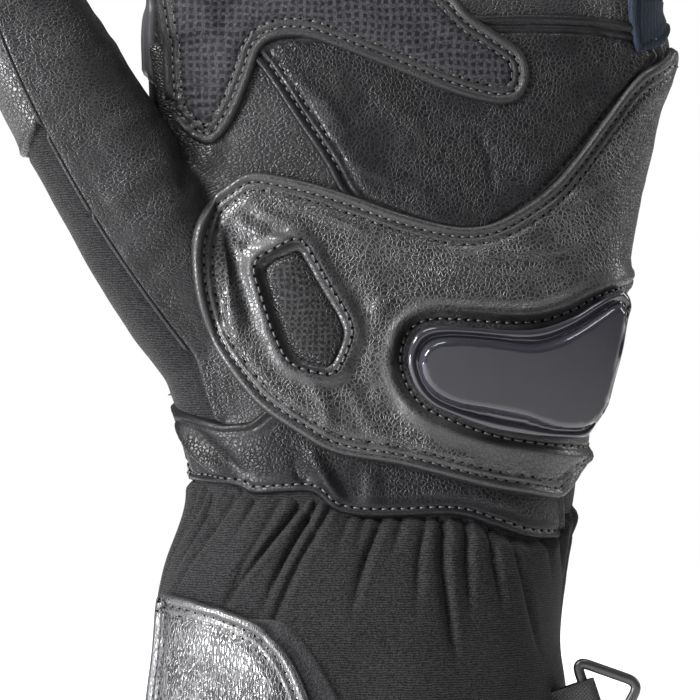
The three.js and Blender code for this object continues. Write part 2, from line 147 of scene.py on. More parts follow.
def noise(points, size, seed):
    """Smooth value noise from -1 to 1, the same on every run."""
    q = np.asarray(points, float) / size
    if q.shape[1] == 2:
        q = np.column_stack([q, np.zeros(len(q))])
    cell = np.floor(q).astype(np.int64)
    f = q - cell
    f = f * f * (3 - 2 * f)
    total = np.zeros(len(q))
    for dx in (0, 1):
        for dy in (0, 1):
            for dz in (0, 1):
                h = (cell[:, 0] + dx) * 73856093
                h = h ^ ((cell[:, 1] + dy) * 19349663)
                h = h ^ ((cell[:, 2] + dz) * 83492791)
                h = (h ^ (seed * 7919)) & 0x7FFFFFFF
                h = (h * 1103515245 + 12345) & 0x7FFFFFFF
                h = ((h ^ (h >> 13)) * 1274126177) & 0x7FFFFFFF
                value = ((h >> 8) & 0xFFFF) / 32767.5 - 1
                wx = f[:, 0] if dx else 1 - f[:, 0]
                wy = f[:, 1] if dy else 1 - f[:, 1]
                wz = f[:, 2] if dz else 1 - f[:, 2]
                total += value * wx * wy * wz
    return total


# ------------------------------------------------------------------ outlines in two dimensions
def catmull(points, closes, step):
    """Centripetal curve through the points, in steps of even length."""
    points = np.asarray(points, float)
    count = len(points)
    pieces = []
    for k in range(count if closes else count - 1):
        if closes:
            p0, p1, p2, p3 = (points[(k + j - 1) % count] for j in range(4))
        else:
            p0, p1, p2, p3 = (points[min(max(k + j - 1, 0), count - 1)] for j in range(4))
        length = np.linalg.norm(p2 - p1)
        steps = max(2, int(length / step) + 1)
        knots = [0.0]
        for a, b in ((p0, p1), (p1, p2), (p2, p3)):
            knots.append(knots[-1] + max(np.linalg.norm(b - a), 1e-6) ** 0.5)
        t = np.linspace(knots[1], knots[2], steps, endpoint=False)[:, None]

        def mix(a, b, ta, tb):
            return ((tb - t) * a + (t - ta) * b) / (tb - ta)

        a1 = mix(p0, p1, knots[0], knots[1])
        a2 = mix(p1, p2, knots[1], knots[2])
        a3 = mix(p2, p3, knots[2], knots[3])
        b1 = mix(a1, a2, knots[0], knots[2])
        b2 = mix(a2, a3, knots[1], knots[3])
        pieces.append(mix(b1, b2, knots[1], knots[2]))
    curve = np.concatenate(pieces)
    if not closes:
        curve = np.vstack([curve, points[-1]])
    return resample(curve, closes, step)


def lengths(path):
    """Length of a path up to each of its points."""
    return np.concatenate([[0], np.cumsum(np.linalg.norm(np.diff(path, axis=0), axis=1))])


def walk(path, where):
    """Points of a path at the lengths given."""
    along = lengths(path)
    return np.column_stack([np.interp(where, along, path[:, k]) for k in range(path.shape[1])])


def closed(loop):
    return np.vstack([loop, loop[:1]])


def resample(curve, closes, step):
    """The same path with even steps."""
    path = closed(curve) if closes else curve
    total = lengths(path)[-1]
    count = max(8, int(round(total / step)))
    return walk(path, np.linspace(0, total, count, endpoint=not closes))


def smooth_loop(points, step):
    """Closed curve through the points, with evenly spaced steps."""
    return resample(catmull(points, True, step), True, step)


def rounded(points, radius, step):
    """Closed polygon with rounded corners."""
    points = np.asarray(points, float)
    curve = []
    for k, corner in enumerate(points):
        before = points[k - 1] - corner
        after = points[(k + 1) % len(points)] - corner
        a = corner + before / np.linalg.norm(before) * min(radius, np.linalg.norm(before) * 0.45)
        b = corner + after / np.linalg.norm(after) * min(radius, np.linalg.norm(after) * 0.45)
        for t in np.linspace(0, 1, 7):
            curve.append((1 - t)**2 * a + 2 * t * (1 - t) * corner + t * t * b)
    return resample(np.array(curve), True, step)


def turning(loop):
    x, y = loop[:, 0], loop[:, 1]
    return np.sign(np.sum(x * np.roll(y, -1) - np.roll(x, -1) * y))


def inset(loop, distance):
    """The loop moved inwards; negative distances move it out."""
    along = np.roll(loop, -1, 0) - np.roll(loop, 1, 0)
    along /= np.maximum(np.linalg.norm(along, axis=1), 1e-9)[:, None]
    inwards = np.column_stack([-along[:, 1], along[:, 0]]) * turning(loop)
    return loop + inwards * distance


def path_distance(points, path, closes=True):
    """Distance from each point to a path, and the share of the path's length where it is nearest."""
    start = path if closes else path[:-1]
    end = np.roll(path, -1, 0) if closes else path[1:]
    edge = end - start
    square = np.maximum((edge ** 2).sum(1), 1e-12)
    best = np.full(len(points), 1e9)
    where = np.zeros(len(points))
    for low in range(0, len(points), 20000):
        p = points[low:low + 20000, None, :] - start[None]
        t = np.clip((p * edge).sum(2) / square, 0, 1)
        d = ((p - t[..., None] * edge) ** 2).sum(2)
        nearest = d.argmin(1)
        rows = np.arange(len(p))
        best[low:low + 20000] = np.sqrt(d[rows, nearest])
        where[low:low + 20000] = (nearest + t[rows, nearest]) / len(start)
    return best, where


def inside(points, loop):
    x, y = points[:, 0], points[:, 1]
    hit = np.zeros(len(points), bool)
    for a, b in zip(loop, np.roll(loop, -1, 0)):
        crosses = (a[1] > y) != (b[1] > y)
        if crosses.any():
            at = (b[0] - a[0]) * (y - a[1]) / (b[1] - a[1] + 1e-12) + a[0]
            hit ^= crosses & (x < at)
    return hit


def edge_depth(points, loop):
    """Distance to the loop, positive inside it."""
    distance, _ = path_distance(points, resample(loop, True, 1.6))
    return np.where(inside(points, loop), distance, -distance)


# ------------------------------------------------------------------ meshes
def add_object(name, data):
    thing = bpy.data.objects.new(name, data)
    bpy.context.collection.objects.link(thing)
    return thing


def make_object(name, points, faces, material, normals=None):
    """New mesh object from glove coordinates. Its "rest" attribute keeps them for the materials;
    a fourth column says where a leather's grain is stretched smooth, from 0 to 1."""
    points = np.asarray(points, float)
    calm, points = points[:, 3:], points[:, :3]
    mesh = bpy.data.meshes.new(name)
    mesh.from_pydata(to_frame(points).tolist(), [], [list(map(int, face)) for face in faces])
    mesh.update()
    rest = mesh.attributes.new("rest", "FLOAT_VECTOR", "POINT")
    rest.data.foreach_set("vector", points.astype(np.float32).ravel())
    if calm.size:
        stretch = mesh.attributes.new("calm", "FLOAT", "POINT")
        stretch.data.foreach_set("value", calm.astype(np.float32).ravel())
    mesh.polygons.foreach_set("use_smooth", [True] * len(mesh.polygons))
    mesh.materials.append(material)
    if normals is not None:
        mesh.normals_split_custom_set_from_vertices(normals.tolist())
    return add_object(name, mesh)


def used_only(points, faces):
    """The points that the faces use, and the faces renumbered to match."""
    used = sorted({v for face in faces for v in face})
    number = {v: n for n, v in enumerate(used)}
    return points[used], [tuple(number[v] for v in face) for face in faces]


def quads(rows, sides, wrap=False, base=0):
    """Faces that join each ring of points to the next and, with wrap, the last to the first."""
    faces = []
    for r in range(rows if wrap else rows - 1):
        near, far = base + r * sides, base + (r + 1) % rows * sides
        for k in range(sides):
            after = (k + 1) % sides
            faces.append((near + k, near + after, far + after, far + k))
    return faces


def tube(rows, sides, base=0):
    """Faces of an open run of rings, with a flat face at both ends."""
    first = [base + k for k in range(sides)]
    last = [base + (rows - 1) * sides + k for k in range(sides)]
    return quads(rows, sides, False, base) + [tuple(first[::-1]), tuple(last)]


def loft(rings):
    """Points and faces of a closed body through rings."""
    sides = len(rings[0])
    points = np.concatenate(rings + [rings[0].mean(0)[None], rings[-1].mean(0)[None]])
    faces = quads(len(rings), sides)
    bottom, top = len(points) - 2, len(points) - 1
    last = (len(rings) - 1) * sides
    for k in range(sides):
        faces.append((bottom, (k + 1) % sides, k))
        faces.append((top, last + k, last + (k + 1) % sides))
    return points, faces


def oval(count, half_x, half_y, power):
    angle = np.linspace(0, 2 * math.pi, count, endpoint=False)
    c, s = np.cos(angle), np.sin(angle)
    x = half_x * np.sign(c) * np.abs(c) ** (2 / power)
    y = half_y * np.sign(s) * np.abs(s) ** (2 / power)
    return x, y


def hand_rings(low, high, step, offset=0.0):
    rings = []
    for z in np.append(np.arange(low, high, step), high):
        left, right, front, back = (float(v) for v in section(z))
        x, y = oval(72, (right - left) / 2 + offset, (back - front) / 2 + offset, squareness(z))
        rings.append(np.column_stack([x + (left + right) / 2, y + (front + back) / 2,
                                      np.full(72, z)]))
    return rings


# ------------------------------------------------------------------ digits
class Digit:
    """A finger or the thumb: its middle line, its local coordinates and its outer shape."""

    def __init__(self, name, root, splay, hinges, curls, profile, length):
        self.name = name
        self.root = np.array(root, float)
        self.splay = math.radians(splay)
        self.hinges = hinges
        self.curls = [math.radians(c) for c in curls]
        self.profile = np.array(profile, float)
        self.length = length
        self.middle = (hinges[0] + hinges[1]) / 2 + 1
        c, s = math.cos(self.splay), math.sin(self.splay)
        self.across = np.array([c, 0, -s])
        self.along = np.array([s, 0, c])

    def bend(self, points, ways):
        """Turns straight local coordinates into curled ones (ways 1) or back (ways -1)."""
        points = points.copy()
        order = (1, 0) if ways > 0 else (0, 1)
        for k in order:
            hinge = self.hinges[k]
            if self.curls[k] == 0:
                continue
            pivot = np.array([0, 0, hinge])
            angle = self.curls[k] * ways
            turned = points - pivot
            c, s = math.cos(angle), math.sin(angle)
            y = turned[:, 1] * c - turned[:, 2] * s
            z = turned[:, 1] * s + turned[:, 2] * c
            moved = np.column_stack([turned[:, 0], y, z]) + pivot
            points = np.where((points[:, 2] > hinge)[:, None], moved, points)
        return points

    def local(self, world):
        """Across, towards the back, and along the digit, with its curl straightened."""
        p = world - self.root
        q = np.column_stack([p @ self.across, p[:, 1], p @ self.along])
        return self.bend(q, -1)

    def world(self, straight):
        """Straight local coordinates taken back to the glove's."""
        q = self.bend(np.asarray(straight, float), 1)
        return self.root + q @ np.array([self.across, (0, 1, 0), self.along])

    def rings(self, offset=0.0):
        rows = []
        t0, end = self.profile[0, 0], self.profile[-1, 0]
        for t in np.append(np.arange(t0, end, 3.0), end):
            w, d, y = (float(hermite(t, self.profile[:, 0], self.profile[:, k])) for k in (1, 2, 3))
            rows.append((t, w + offset, d + offset, y))
        _, w, d, y = rows[-1]
        dome = self.length + offset - end
        for angle in np.radians([15, 30, 45, 58, 70, 80, 87]):
            c = math.cos(angle)
            rows.append((end + dome * math.sin(angle), w * c, d * c, y))
        rings = []
        for t, w, d, y in rows:
            x, v = oval(48, w, d, 2.2)
            rings.append(self.world(np.column_stack([x, v + y, np.full(48, t)])))
        return rings


def finger(name, x, web, width, depth, length, knuckle, splay):
    w, d = width / 2, depth / 2
    profile = [(-12, w, d, 0), (ROOT_HINGE, w, d, 0), (knuckle, w * 0.97, d * 0.97, 0),
               ((knuckle + length) / 2, w * 0.94, d * 0.92, 0),
               (length - w * 0.95, w * 0.88, d * 0.85, 0)]
    return Digit(name, (x, FINGER_Y, web), splay, (ROOT_HINGE, knuckle), CURLS, profile, length)


DIGITS = [finger(*values) for values in FINGERS]
THUMB = Digit("thumb", THUMB_ROOT, THUMB_SPLAY, THUMB_HINGES, (0, 0), THUMB_PROFILE, THUMB_LENGTH)
DIGITS.append(THUMB)


# ------------------------------------------------------------------ the skin under every panel
def skin_mesh(name, offset=0.0, voxel=0.0008, rounds=10):
    """One closed surface round the palm and all digits, with the joins between them rounded."""
    bodies = [loft(hand_rings(84, 209, 3, offset))]
    bodies += [loft(digit.rings(offset)) for digit in DIGITS]
    points, faces, base = [], [], 0
    for p, f in bodies:
        points.append(p)
        faces += [tuple(i + base for i in face) for face in f]
        base += len(p)
    mesh = bpy.data.meshes.new(name)
    mesh.from_pydata((np.concatenate(points) * MM).tolist(), [], faces)
    thing = add_object(name, mesh)
    remesh = thing.modifiers.new("remesh", "REMESH")
    remesh.mode = "VOXEL"
    remesh.voxel_size = voxel
    soften = thing.modifiers.new("soften", "SMOOTH")
    soften.factor = 0.6
    soften.iterations = rounds
    graph = bpy.context.evaluated_depsgraph_get()
    result = bpy.data.meshes.new_from_object(thing.evaluated_get(graph))
    bpy.data.objects.remove(thing)
    return result


def mesh_points(mesh):
    points = np.zeros(len(mesh.vertices) * 3)
    mesh.vertices.foreach_get("co", points)
    return points.reshape(-1, 3) / MM


class Drape:
    """Unrolled coordinates on a surface: u goes across and on round both sides, v goes along.
    Rays cast from outside towards the body give the surface once, on a grid."""

    def __init__(self, tree, low, high, turn, step=1.0, facing=-1.0):
        self.low, self.high, self.step = np.array(low, float), np.array(high, float), step
        self.us = np.arange(low[0], high[0] + step, step)
        self.vs = np.arange(low[1], high[1] + step, step)
        front, across = np.array([0, facing, 0]), np.array([1.0, 0, 0])
        grid = np.full((len(self.us), len(self.vs), 3), np.nan)
        for j, v in enumerate(self.vs):
            left, right, left_radius, right_radius, depth = turn(v)
            for i, u in enumerate(self.us):
                side = min(max(u, left), right)
                angle = (u - side) / (left_radius if u < side else right_radius)
                out = front * math.cos(angle) + across * math.sin(angle)
                start = np.array([side, depth, v]) + out * 70
                hit = tree.ray_cast(Vector(start), Vector(-out))[0]
                if hit is not None:
                    grid[i, j] = hit
        self.grid = self.smoothed(self.filled(grid))
        du = np.gradient(self.grid, axis=0)
        dv = np.gradient(self.grid, axis=1)
        normal = np.cross(du, dv)
        normal /= np.maximum(np.linalg.norm(normal, axis=2), 1e-9)[..., None]
        middle = normal[len(self.us) // 2, len(self.vs) // 2]
        self.flip = bool(middle @ front < 0)
        self.normal = -normal if self.flip else normal

    def filled(self, grid):
        """Missed rays filled from their neighbours."""
        for _ in range(60):
            gap = np.isnan(grid[..., 0])
            if not gap.any():
                break
            total = np.zeros_like(grid)
            count = np.zeros(grid.shape[:2])
            for axis in (0, 1):
                for way in (1, -1):
                    other = np.roll(grid, way, axis)
                    good = ~np.isnan(other[..., 0])
                    total[good] += other[good]
                    count[good] += 1
            fill = gap & (count > 0)
            grid[fill] = total[fill] / count[fill][:, None]
        return grid

    def smoothed(self, grid):
        """The grid with its facets evened out."""
        for _ in range(2):
            padded = np.pad(grid, ((1, 1), (1, 1), (0, 0)), "edge")
            ring = padded[:-2, 1:-1] + padded[2:, 1:-1] + padded[1:-1, :-2] + padded[1:-1, 2:]
            inner = grid.copy()
            inner[1:-1, 1:-1] = (grid * 0.5 + ring * 0.125)[1:-1, 1:-1]
            grid = inner
        return grid

    def unwrap(self, outline):
        """Turns points given as seen from the front (X, Z) into unrolled coordinates."""
        result = []
        for x, z in np.asarray(outline, float):
            row = self.sample(self.grid, np.column_stack([self.us, np.full(len(self.us), z)]))
            seen = row[:, 0]
            middle = int(np.argmin(np.abs(self.us)))
            first = last = middle
            while first > 0 and seen[first - 1] < seen[first] - 1e-3:
                first -= 1
            while last < len(seen) - 1 and seen[last + 1] > seen[last] + 1e-3:
                last += 1
            u = np.interp(x, seen[first:last + 1], self.us[first:last + 1])
            u += max(x - seen[last], 0) + min(x - seen[first], 0)
            result.append((u, z))
        return np.array(result)

    def sample(self, field, uv):
        """A field on the grid, read between its points with cubic weights."""
        at = (uv - self.low) / self.step
        at = np.clip(at, 0, np.array(field.shape[:2]) - 1.001)
        cell = np.floor(at).astype(int)
        f = at - cell
        shape = np.array(field.shape[:2])

        def weights(t):
            return [((-t + 2) * t - 1) * t / 2, ((3 * t - 5) * t * t + 2) / 2,
                    ((-3 * t + 4) * t + 1) * t / 2, ((t - 1) * t * t) / 2]

        wu, wv = weights(f[:, 0]), weights(f[:, 1])
        total = np.zeros((len(uv), field.shape[2]))
        for a in range(4):
            i = np.clip(cell[:, 0] + a - 1, 0, shape[0] - 1)
            for b in range(4):
                j = np.clip(cell[:, 1] + b - 1, 0, shape[1] - 1)
                total += field[i, j] * (wu[a] * wv[b])[:, None]
        return total

    def place(self, uv, height):
        """Points at a height over the surface, with its normals there."""
        normal = self.sample(self.normal, uv)
        normal /= np.linalg.norm(normal, axis=1)[:, None]
        return self.sample(self.grid, uv) + normal * np.asarray(height)[:, None], normal


# ------------------------------------------------------------------ materials
class Net:
    """Short names for the nodes that the materials below use."""

    def __init__(self, tree):
        self.tree = tree

    def fill(self, node, inputs):
        """Links the inputs that are given a socket, and sets the others."""
        for key, value in inputs.items():
            if isinstance(value, bpy.types.NodeSocket):
                self.tree.links.new(value, node.inputs[key])
            else:
                node.inputs[key].default_value = value
        return node

    def put(self, kind, inputs=(), **settings):
        node = self.tree.nodes.new(kind)
        for key, value in settings.items():
            setattr(node, key, value)
        return self.fill(node, dict(inputs))

    def math(self, operation, a, b=0.0, c=0.0):
        return self.put("ShaderNodeMath", {0: a, 1: b, 2: c}, operation=operation).outputs[0]

    def scale(self, vector, amounts):
        return self.put("ShaderNodeVectorMath", {0: vector, 1: amounts},
                        operation="MULTIPLY").outputs[0]

    def noise(self, vector, scale, detail=2.0, rough=0.5):
        return self.put("ShaderNodeTexNoise", {"Vector": vector, "Scale": scale, "Detail": detail,
                                               "Roughness": rough}).outputs[0]

    def cells(self, vector, scale, feature="F1", smooth=0.4):
        inputs = {"Vector": vector, "Scale": scale}
        if feature == "SMOOTH_F1":
            inputs["Smoothness"] = smooth
        return self.put("ShaderNodeTexVoronoi", inputs, feature=feature).outputs["Distance"]

    def ramp(self, value, low, high, out_low=0.0, out_high=1.0):
        return self.put("ShaderNodeMapRange", {"Value": value, "From Min": low, "From Max": high,
                                               "To Min": out_low, "To Max": out_high}).outputs[0]

    def split(self, vector):
        return self.put("ShaderNodeSeparateXYZ", {0: vector}).outputs

    def mix_colour(self, factor, a, b):
        return self.put("ShaderNodeMix", {0: factor, 6: a + (1,) if len(a) == 3 else a,
                                          7: b + (1,) if len(b) == 3 else b},
                        data_type="RGBA").outputs[2]

    def bump(self, height, strength, distance, normal=None):
        inputs = {"Height": height, "Strength": strength, "Distance": distance * MM}
        if normal is not None:
            inputs["Normal"] = normal
        return self.put("ShaderNodeBump", inputs).outputs[0]


def new_material(name):
    """A new material, its net and shader, and the point's place on the glove in millimetres."""
    material = bpy.data.materials.new(name)
    material.use_nodes = True
    net = Net(material.node_tree)
    net.tree.nodes.clear()
    shader = net.put("ShaderNodeBsdfPrincipled")
    net.put("ShaderNodeOutputMaterial", {"Surface": shader.outputs[0]})
    place = net.put("ShaderNodeAttribute", attribute_name="rest").outputs["Vector"]
    return material, net, shader, place


def leather(name, dark, light, grain=(1.0, 1.0, 1.0), size=1.15, depth=0.22, rough=(0.3, 0.5),
            specular=0.2):
    """Grained leather: rounded pebbles with painted shade in their valleys, finer grain on top,
    glossy crests.
    """
    material, net, shader, place = new_material(name)
    warp = net.put("ShaderNodeTexNoise", {"Vector": place, "Scale": 0.5, "Detail": 1.0})
    shifted = net.put("ShaderNodeVectorMath", {0: warp.outputs["Color"], 1: (0.9, 0.9, 0.9),
                                               2: net.scale(place, grain)},
                      operation="MULTIPLY_ADD").outputs[0]
    smoothed = net.put("ShaderNodeAttribute", attribute_name="calm").outputs["Fac"]
    patches = net.ramp(net.noise(place, 0.07, 2.0, 0.6), 0.38, 0.62, 0.35, 1.15)
    raised = net.math("MULTIPLY", net.ramp(smoothed, 0.0, 1.0, 1.0, 0.22), patches)
    away = net.ramp(net.cells(shifted, 1 / size, "DISTANCE_TO_EDGE"), 0.0, 0.26, 1.0, 0.0)
    crest = net.math("SUBTRACT", 1.0, net.math("MULTIPLY", away, away))
    fine = net.noise(shifted, 1.6 / size, 2.0, 0.5)
    height = net.math("ADD", net.math("MULTIPLY", crest, raised), net.math("MULTIPLY", fine, 0.45))
    worn = net.noise(place, 0.09, 2.0)
    # Painted shade: the colour darkens from each pebble's crest into the valleys round it, and the
    # wide worn patches vary it at random.
    shade = net.math("MULTIPLY", crest, net.ramp(worn, 0.3, 0.7, 0.45, 1.0))
    gloss = net.ramp(worn, 0.3, 0.7, rough[1], rough[0])
    dull = net.math("MULTIPLY_ADD", net.math("SUBTRACT", 1.0, crest), 0.4, gloss)
    dull = net.math("MULTIPLY_ADD", smoothed, 0.04, dull)
    net.fill(shader, {"Base Color": net.mix_colour(shade, dark, light), "Roughness": dull,
                      "Specular IOR Level": specular, "Normal": net.bump(height, 0.9, depth)})
    return material


def ribbed_cloth(name, dark, light, pitch=0.52, rough=0.85, upright=False):
    """Softshell face cloth: fine ribs across the arm, slightly mottled."""
    material, net, shader, place = new_material(name)
    x, y, z = net.split(place)
    along = x if upright else z
    wobble = net.math("MULTIPLY", net.noise(place, 0.35, 1.0), 0.7)
    rib = net.math("SINE", net.math("MULTIPLY", net.math("ADD", along, wobble),
                                    2 * math.pi / pitch))
    broken = net.noise(net.scale(place, (0.9, 0.9, 2.4)), 0.9, 2.0, 0.7)
    rib = net.math("MULTIPLY", rib, net.ramp(broken, 0.3, 0.6))
    speck = net.noise(place, 2.2, 3.0, 0.75)
    height = net.math("ADD", net.math("MULTIPLY", rib, 0.16), speck)
    net.fill(shader, {"Base Color": net.mix_colour(net.ramp(height, 0.36, 0.8), dark, light),
                      "Roughness": rough, "Specular IOR Level": 0.08, "Sheen Weight": 0.03,
                      "Sheen Roughness": 0.4, "Normal": net.bump(height, 0.8, 0.2)})
    return material


def printed_cloth(name, pitch=1.72, dark=(0.002, 0.002, 0.003), light=(0.022, 0.022, 0.025)):
    """Grip fabric: a square grid of recessed dark dots on a mottled grey ground."""
    material, net, shader, place = new_material(name)
    x, y, z = net.split(place)
    drift = net.noise(place, 0.1, 1.0)
    px = net.math("ADD", x, net.math("MULTIPLY", drift, 2.2))
    pz = net.math("ADD", z, net.math("MULTIPLY", net.noise(place, 0.13, 1.0), 2.4))
    sides = []
    for value in (px, pz):
        part = net.math("FRACT", net.math("DIVIDE", value, pitch))
        sides.append(net.math("ABSOLUTE", net.math("SUBTRACT", part, 0.5)))
    edge = net.math("MAXIMUM", *sides)
    dot = net.ramp(edge, 0.24, 0.29, 1.0, 0.0)
    mottle = net.noise(place, 1.9, 3.0, 0.7)
    ground = net.mix_colour(net.ramp(mottle, 0.35, 0.68), dark, light)
    colour = net.put("ShaderNodeMix", {0: net.math("MULTIPLY", dot, 0.88), 6: ground,
                                       7: (0.001, 0.001, 0.0016, 1)}, data_type="RGBA").outputs[2]
    height = net.math("SUBTRACT", mottle, net.math("MULTIPLY", dot, 0.4))
    net.fill(shader, {"Base Color": colour, "Roughness": 0.6, "Specular IOR Level": 0.07,
                      "Normal": net.bump(height, 0.8, 0.16)})
    return material


def plain(name, colour, rough, specular=0.5, coat=0.0, grain=3.0, depth=0.03):
    """Moulded plastic or thread with a faint surface texture."""
    material, net, shader, place = new_material(name)
    fine = net.noise(place, grain, 3.0, 0.6)
    wide = net.noise(place, 0.15, 2.0)
    low = tuple(c * 0.85 for c in colour)
    high = tuple(c * 1.15 for c in colour)
    uneven = net.math("ADD", wide, net.math("MULTIPLY", fine, 0.3))
    net.fill(shader, {"Base Color": net.mix_colour(wide, low, high),
                      "Roughness": net.ramp(uneven, 0.3, 1.0, rough * 0.85, rough * 1.15),
                      "Specular IOR Level": specular, "Coat Weight": coat, "Coat Roughness": 0.06,
                      "Normal": net.bump(fine, 0.35, depth)})
    return material


def woven(name, dark, light, pitch=0.9, rough=0.7):
    """Webbing or elastic: a plain weave in two directions."""
    material, net, shader, place = new_material(name)
    x, y, z = net.split(place)
    first = net.math("SINE", net.math("MULTIPLY", net.math("ADD", x, y), 2 * math.pi / pitch))
    second = net.math("SINE", net.math("MULTIPLY", z, 2 * math.pi / pitch))
    weave = net.math("ADD", net.math("MULTIPLY", first, second), net.noise(place, 2.0))
    net.fill(shader, {"Base Color": net.mix_colour(net.ramp(weave, -0.6, 1.6), dark, light),
                      "Roughness": rough, "Specular IOR Level": 0.3,
                      "Normal": net.bump(weave, 0.7, 0.15)})
    return material


def fuzzy(name, dark, light, size=0.7, depth=0.5):
    """Loop pile, hook tape, fleece and wadding."""
    material, net, shader, place = new_material(name)
    curl = net.noise(place, 1 / size, 4.0, 0.75)
    knot = net.cells(place, 1.3 / size)
    height = net.math("ADD", curl, net.math("MULTIPLY", knot, 0.6))
    net.fill(shader, {"Base Color": net.mix_colour(net.ramp(height, 0.4, 1.1), dark, light),
                      "Roughness": 0.95, "Specular IOR Level": 0.15, "Sheen Weight": 0.04,
                      "Normal": net.bump(height, 1.0, depth)})
    return material


PALM_LEATHER = leather("palm_leather", (0.0008, 0.0008, 0.001), (0.006, 0.006, 0.007),
                       size=0.92, depth=0.15, rough=(0.22, 0.36), specular=0.34)
BAND_LEATHER = leather("band_leather", (0.0006, 0.0006, 0.0008), (0.004, 0.004, 0.005),
                       size=0.92, depth=0.15, rough=(0.22, 0.36), specular=0.13)
FINE_LEATHER = leather("fine_leather", (0.001, 0.001, 0.0013), (0.006, 0.006, 0.007),
                       grain=(0.75, 1.0, 1.25), size=0.86, depth=0.17, rough=(0.25, 0.4),
                       specular=0.22)
# Lighter colours than the other leathers: painted light for the glare of the lamps on the left over
# the flap. Its upright grain and its gloss are its own.
FLAP_GLARE_LEATHER = leather("flap_glare_leather", (0.003, 0.003, 0.004), (0.014, 0.014, 0.016),
                       grain=(1.5, 1.0, 0.5), size=1.0, depth=0.2, rough=(0.2, 0.3),
                       specular=0.6)
EDGE_LEATHER = leather("edge_leather", (0.001, 0.001, 0.0013), (0.005, 0.005, 0.006),
                       size=0.55, depth=0.07, rough=(0.3, 0.42), specular=0.22)
SOFTSHELL = ribbed_cloth("softshell_cloth", (0.0004, 0.0004, 0.0005), (0.016, 0.016, 0.017))
KNIT = ribbed_cloth("navy_knit", (0.004, 0.006, 0.010), (0.012, 0.016, 0.026), 0.8,
                    upright=True)
GRIP = printed_cloth("grip_fabric")
PAD_PRINT = printed_cloth("pad_print", 1.35, (0.001, 0.001, 0.001), (0.020, 0.020, 0.021))
GREY = plain("grey_binding", (0.022, 0.022, 0.026), 0.42, specular=0.4, grain=1.2, depth=0.15)
SLIDER = plain("slider_gloss", (0.012, 0.012, 0.016), 0.12, specular=0.36, coat=0.08,
               depth=0.012)
PLASTIC = plain("ring_satin", (0.006, 0.006, 0.007), 0.34, specular=0.4, depth=0.05)
THREAD = plain("thread", (0.012, 0.012, 0.014), 0.45, specular=0.35, grain=6.0)
# Near-black and matte: painted shade for the inside of each needle hole, on the small cones that the
# stitches put at their holes.
HOLE_SHADE = plain("needle_hole", (0.0006, 0.0006, 0.0007), 0.9, specular=0.02)
WEBBING = woven("webbing_weave", (0.002, 0.002, 0.002), (0.011, 0.011, 0.012))
LOOP_PILE = fuzzy("loop_fuzz", (0.001, 0.001, 0.001), (0.014, 0.014, 0.016))
HOOKS = fuzzy("hook_fuzz", (0.004, 0.004, 0.004), (0.020, 0.020, 0.020), size=0.5)
FLEECE = fuzzy("fleece_fuzz", (0.010, 0.010, 0.012), (0.035, 0.035, 0.040), size=1.6)


# ------------------------------------------------------------------ putting pieces on bodies
WRIST_BLEND = ("cuff", "hand", (0, 0, 73), (0, 0, 91))


def settle(thing, body, replaces=()):
    """A piece rides on one body; given a blend between two instead, (first, second, start, end), only
    its transform is baked into its mesh.
    """
    if isinstance(body, str):
        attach(thing, body)
    else:
        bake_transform(thing)
    if replaces:
        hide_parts(*replaces)
    return thing


# ------------------------------------------------------------------ draped panels
# Edge profiles, as distance from the panel's edge and rise: with a double seam, and a single one.
EDGE = ((0, -0.7), (0.3, 0.2), (0.7, 0.5), (1.2, 0.55), (1.75, 0.3), (2.2, -0.5), (2.7, 0.15),
        (3.3, 0.35), (3.9, -0.5), (4.5, 0.2), (6.0, 0.45), (9.0, 0.25))
SINGLE = ((0, -0.6), (0.3, 0.2), (0.7, 0.55), (1.2, 0.6), (1.75, -0.2), (2.3, 0.25), (4.0, 0.2))


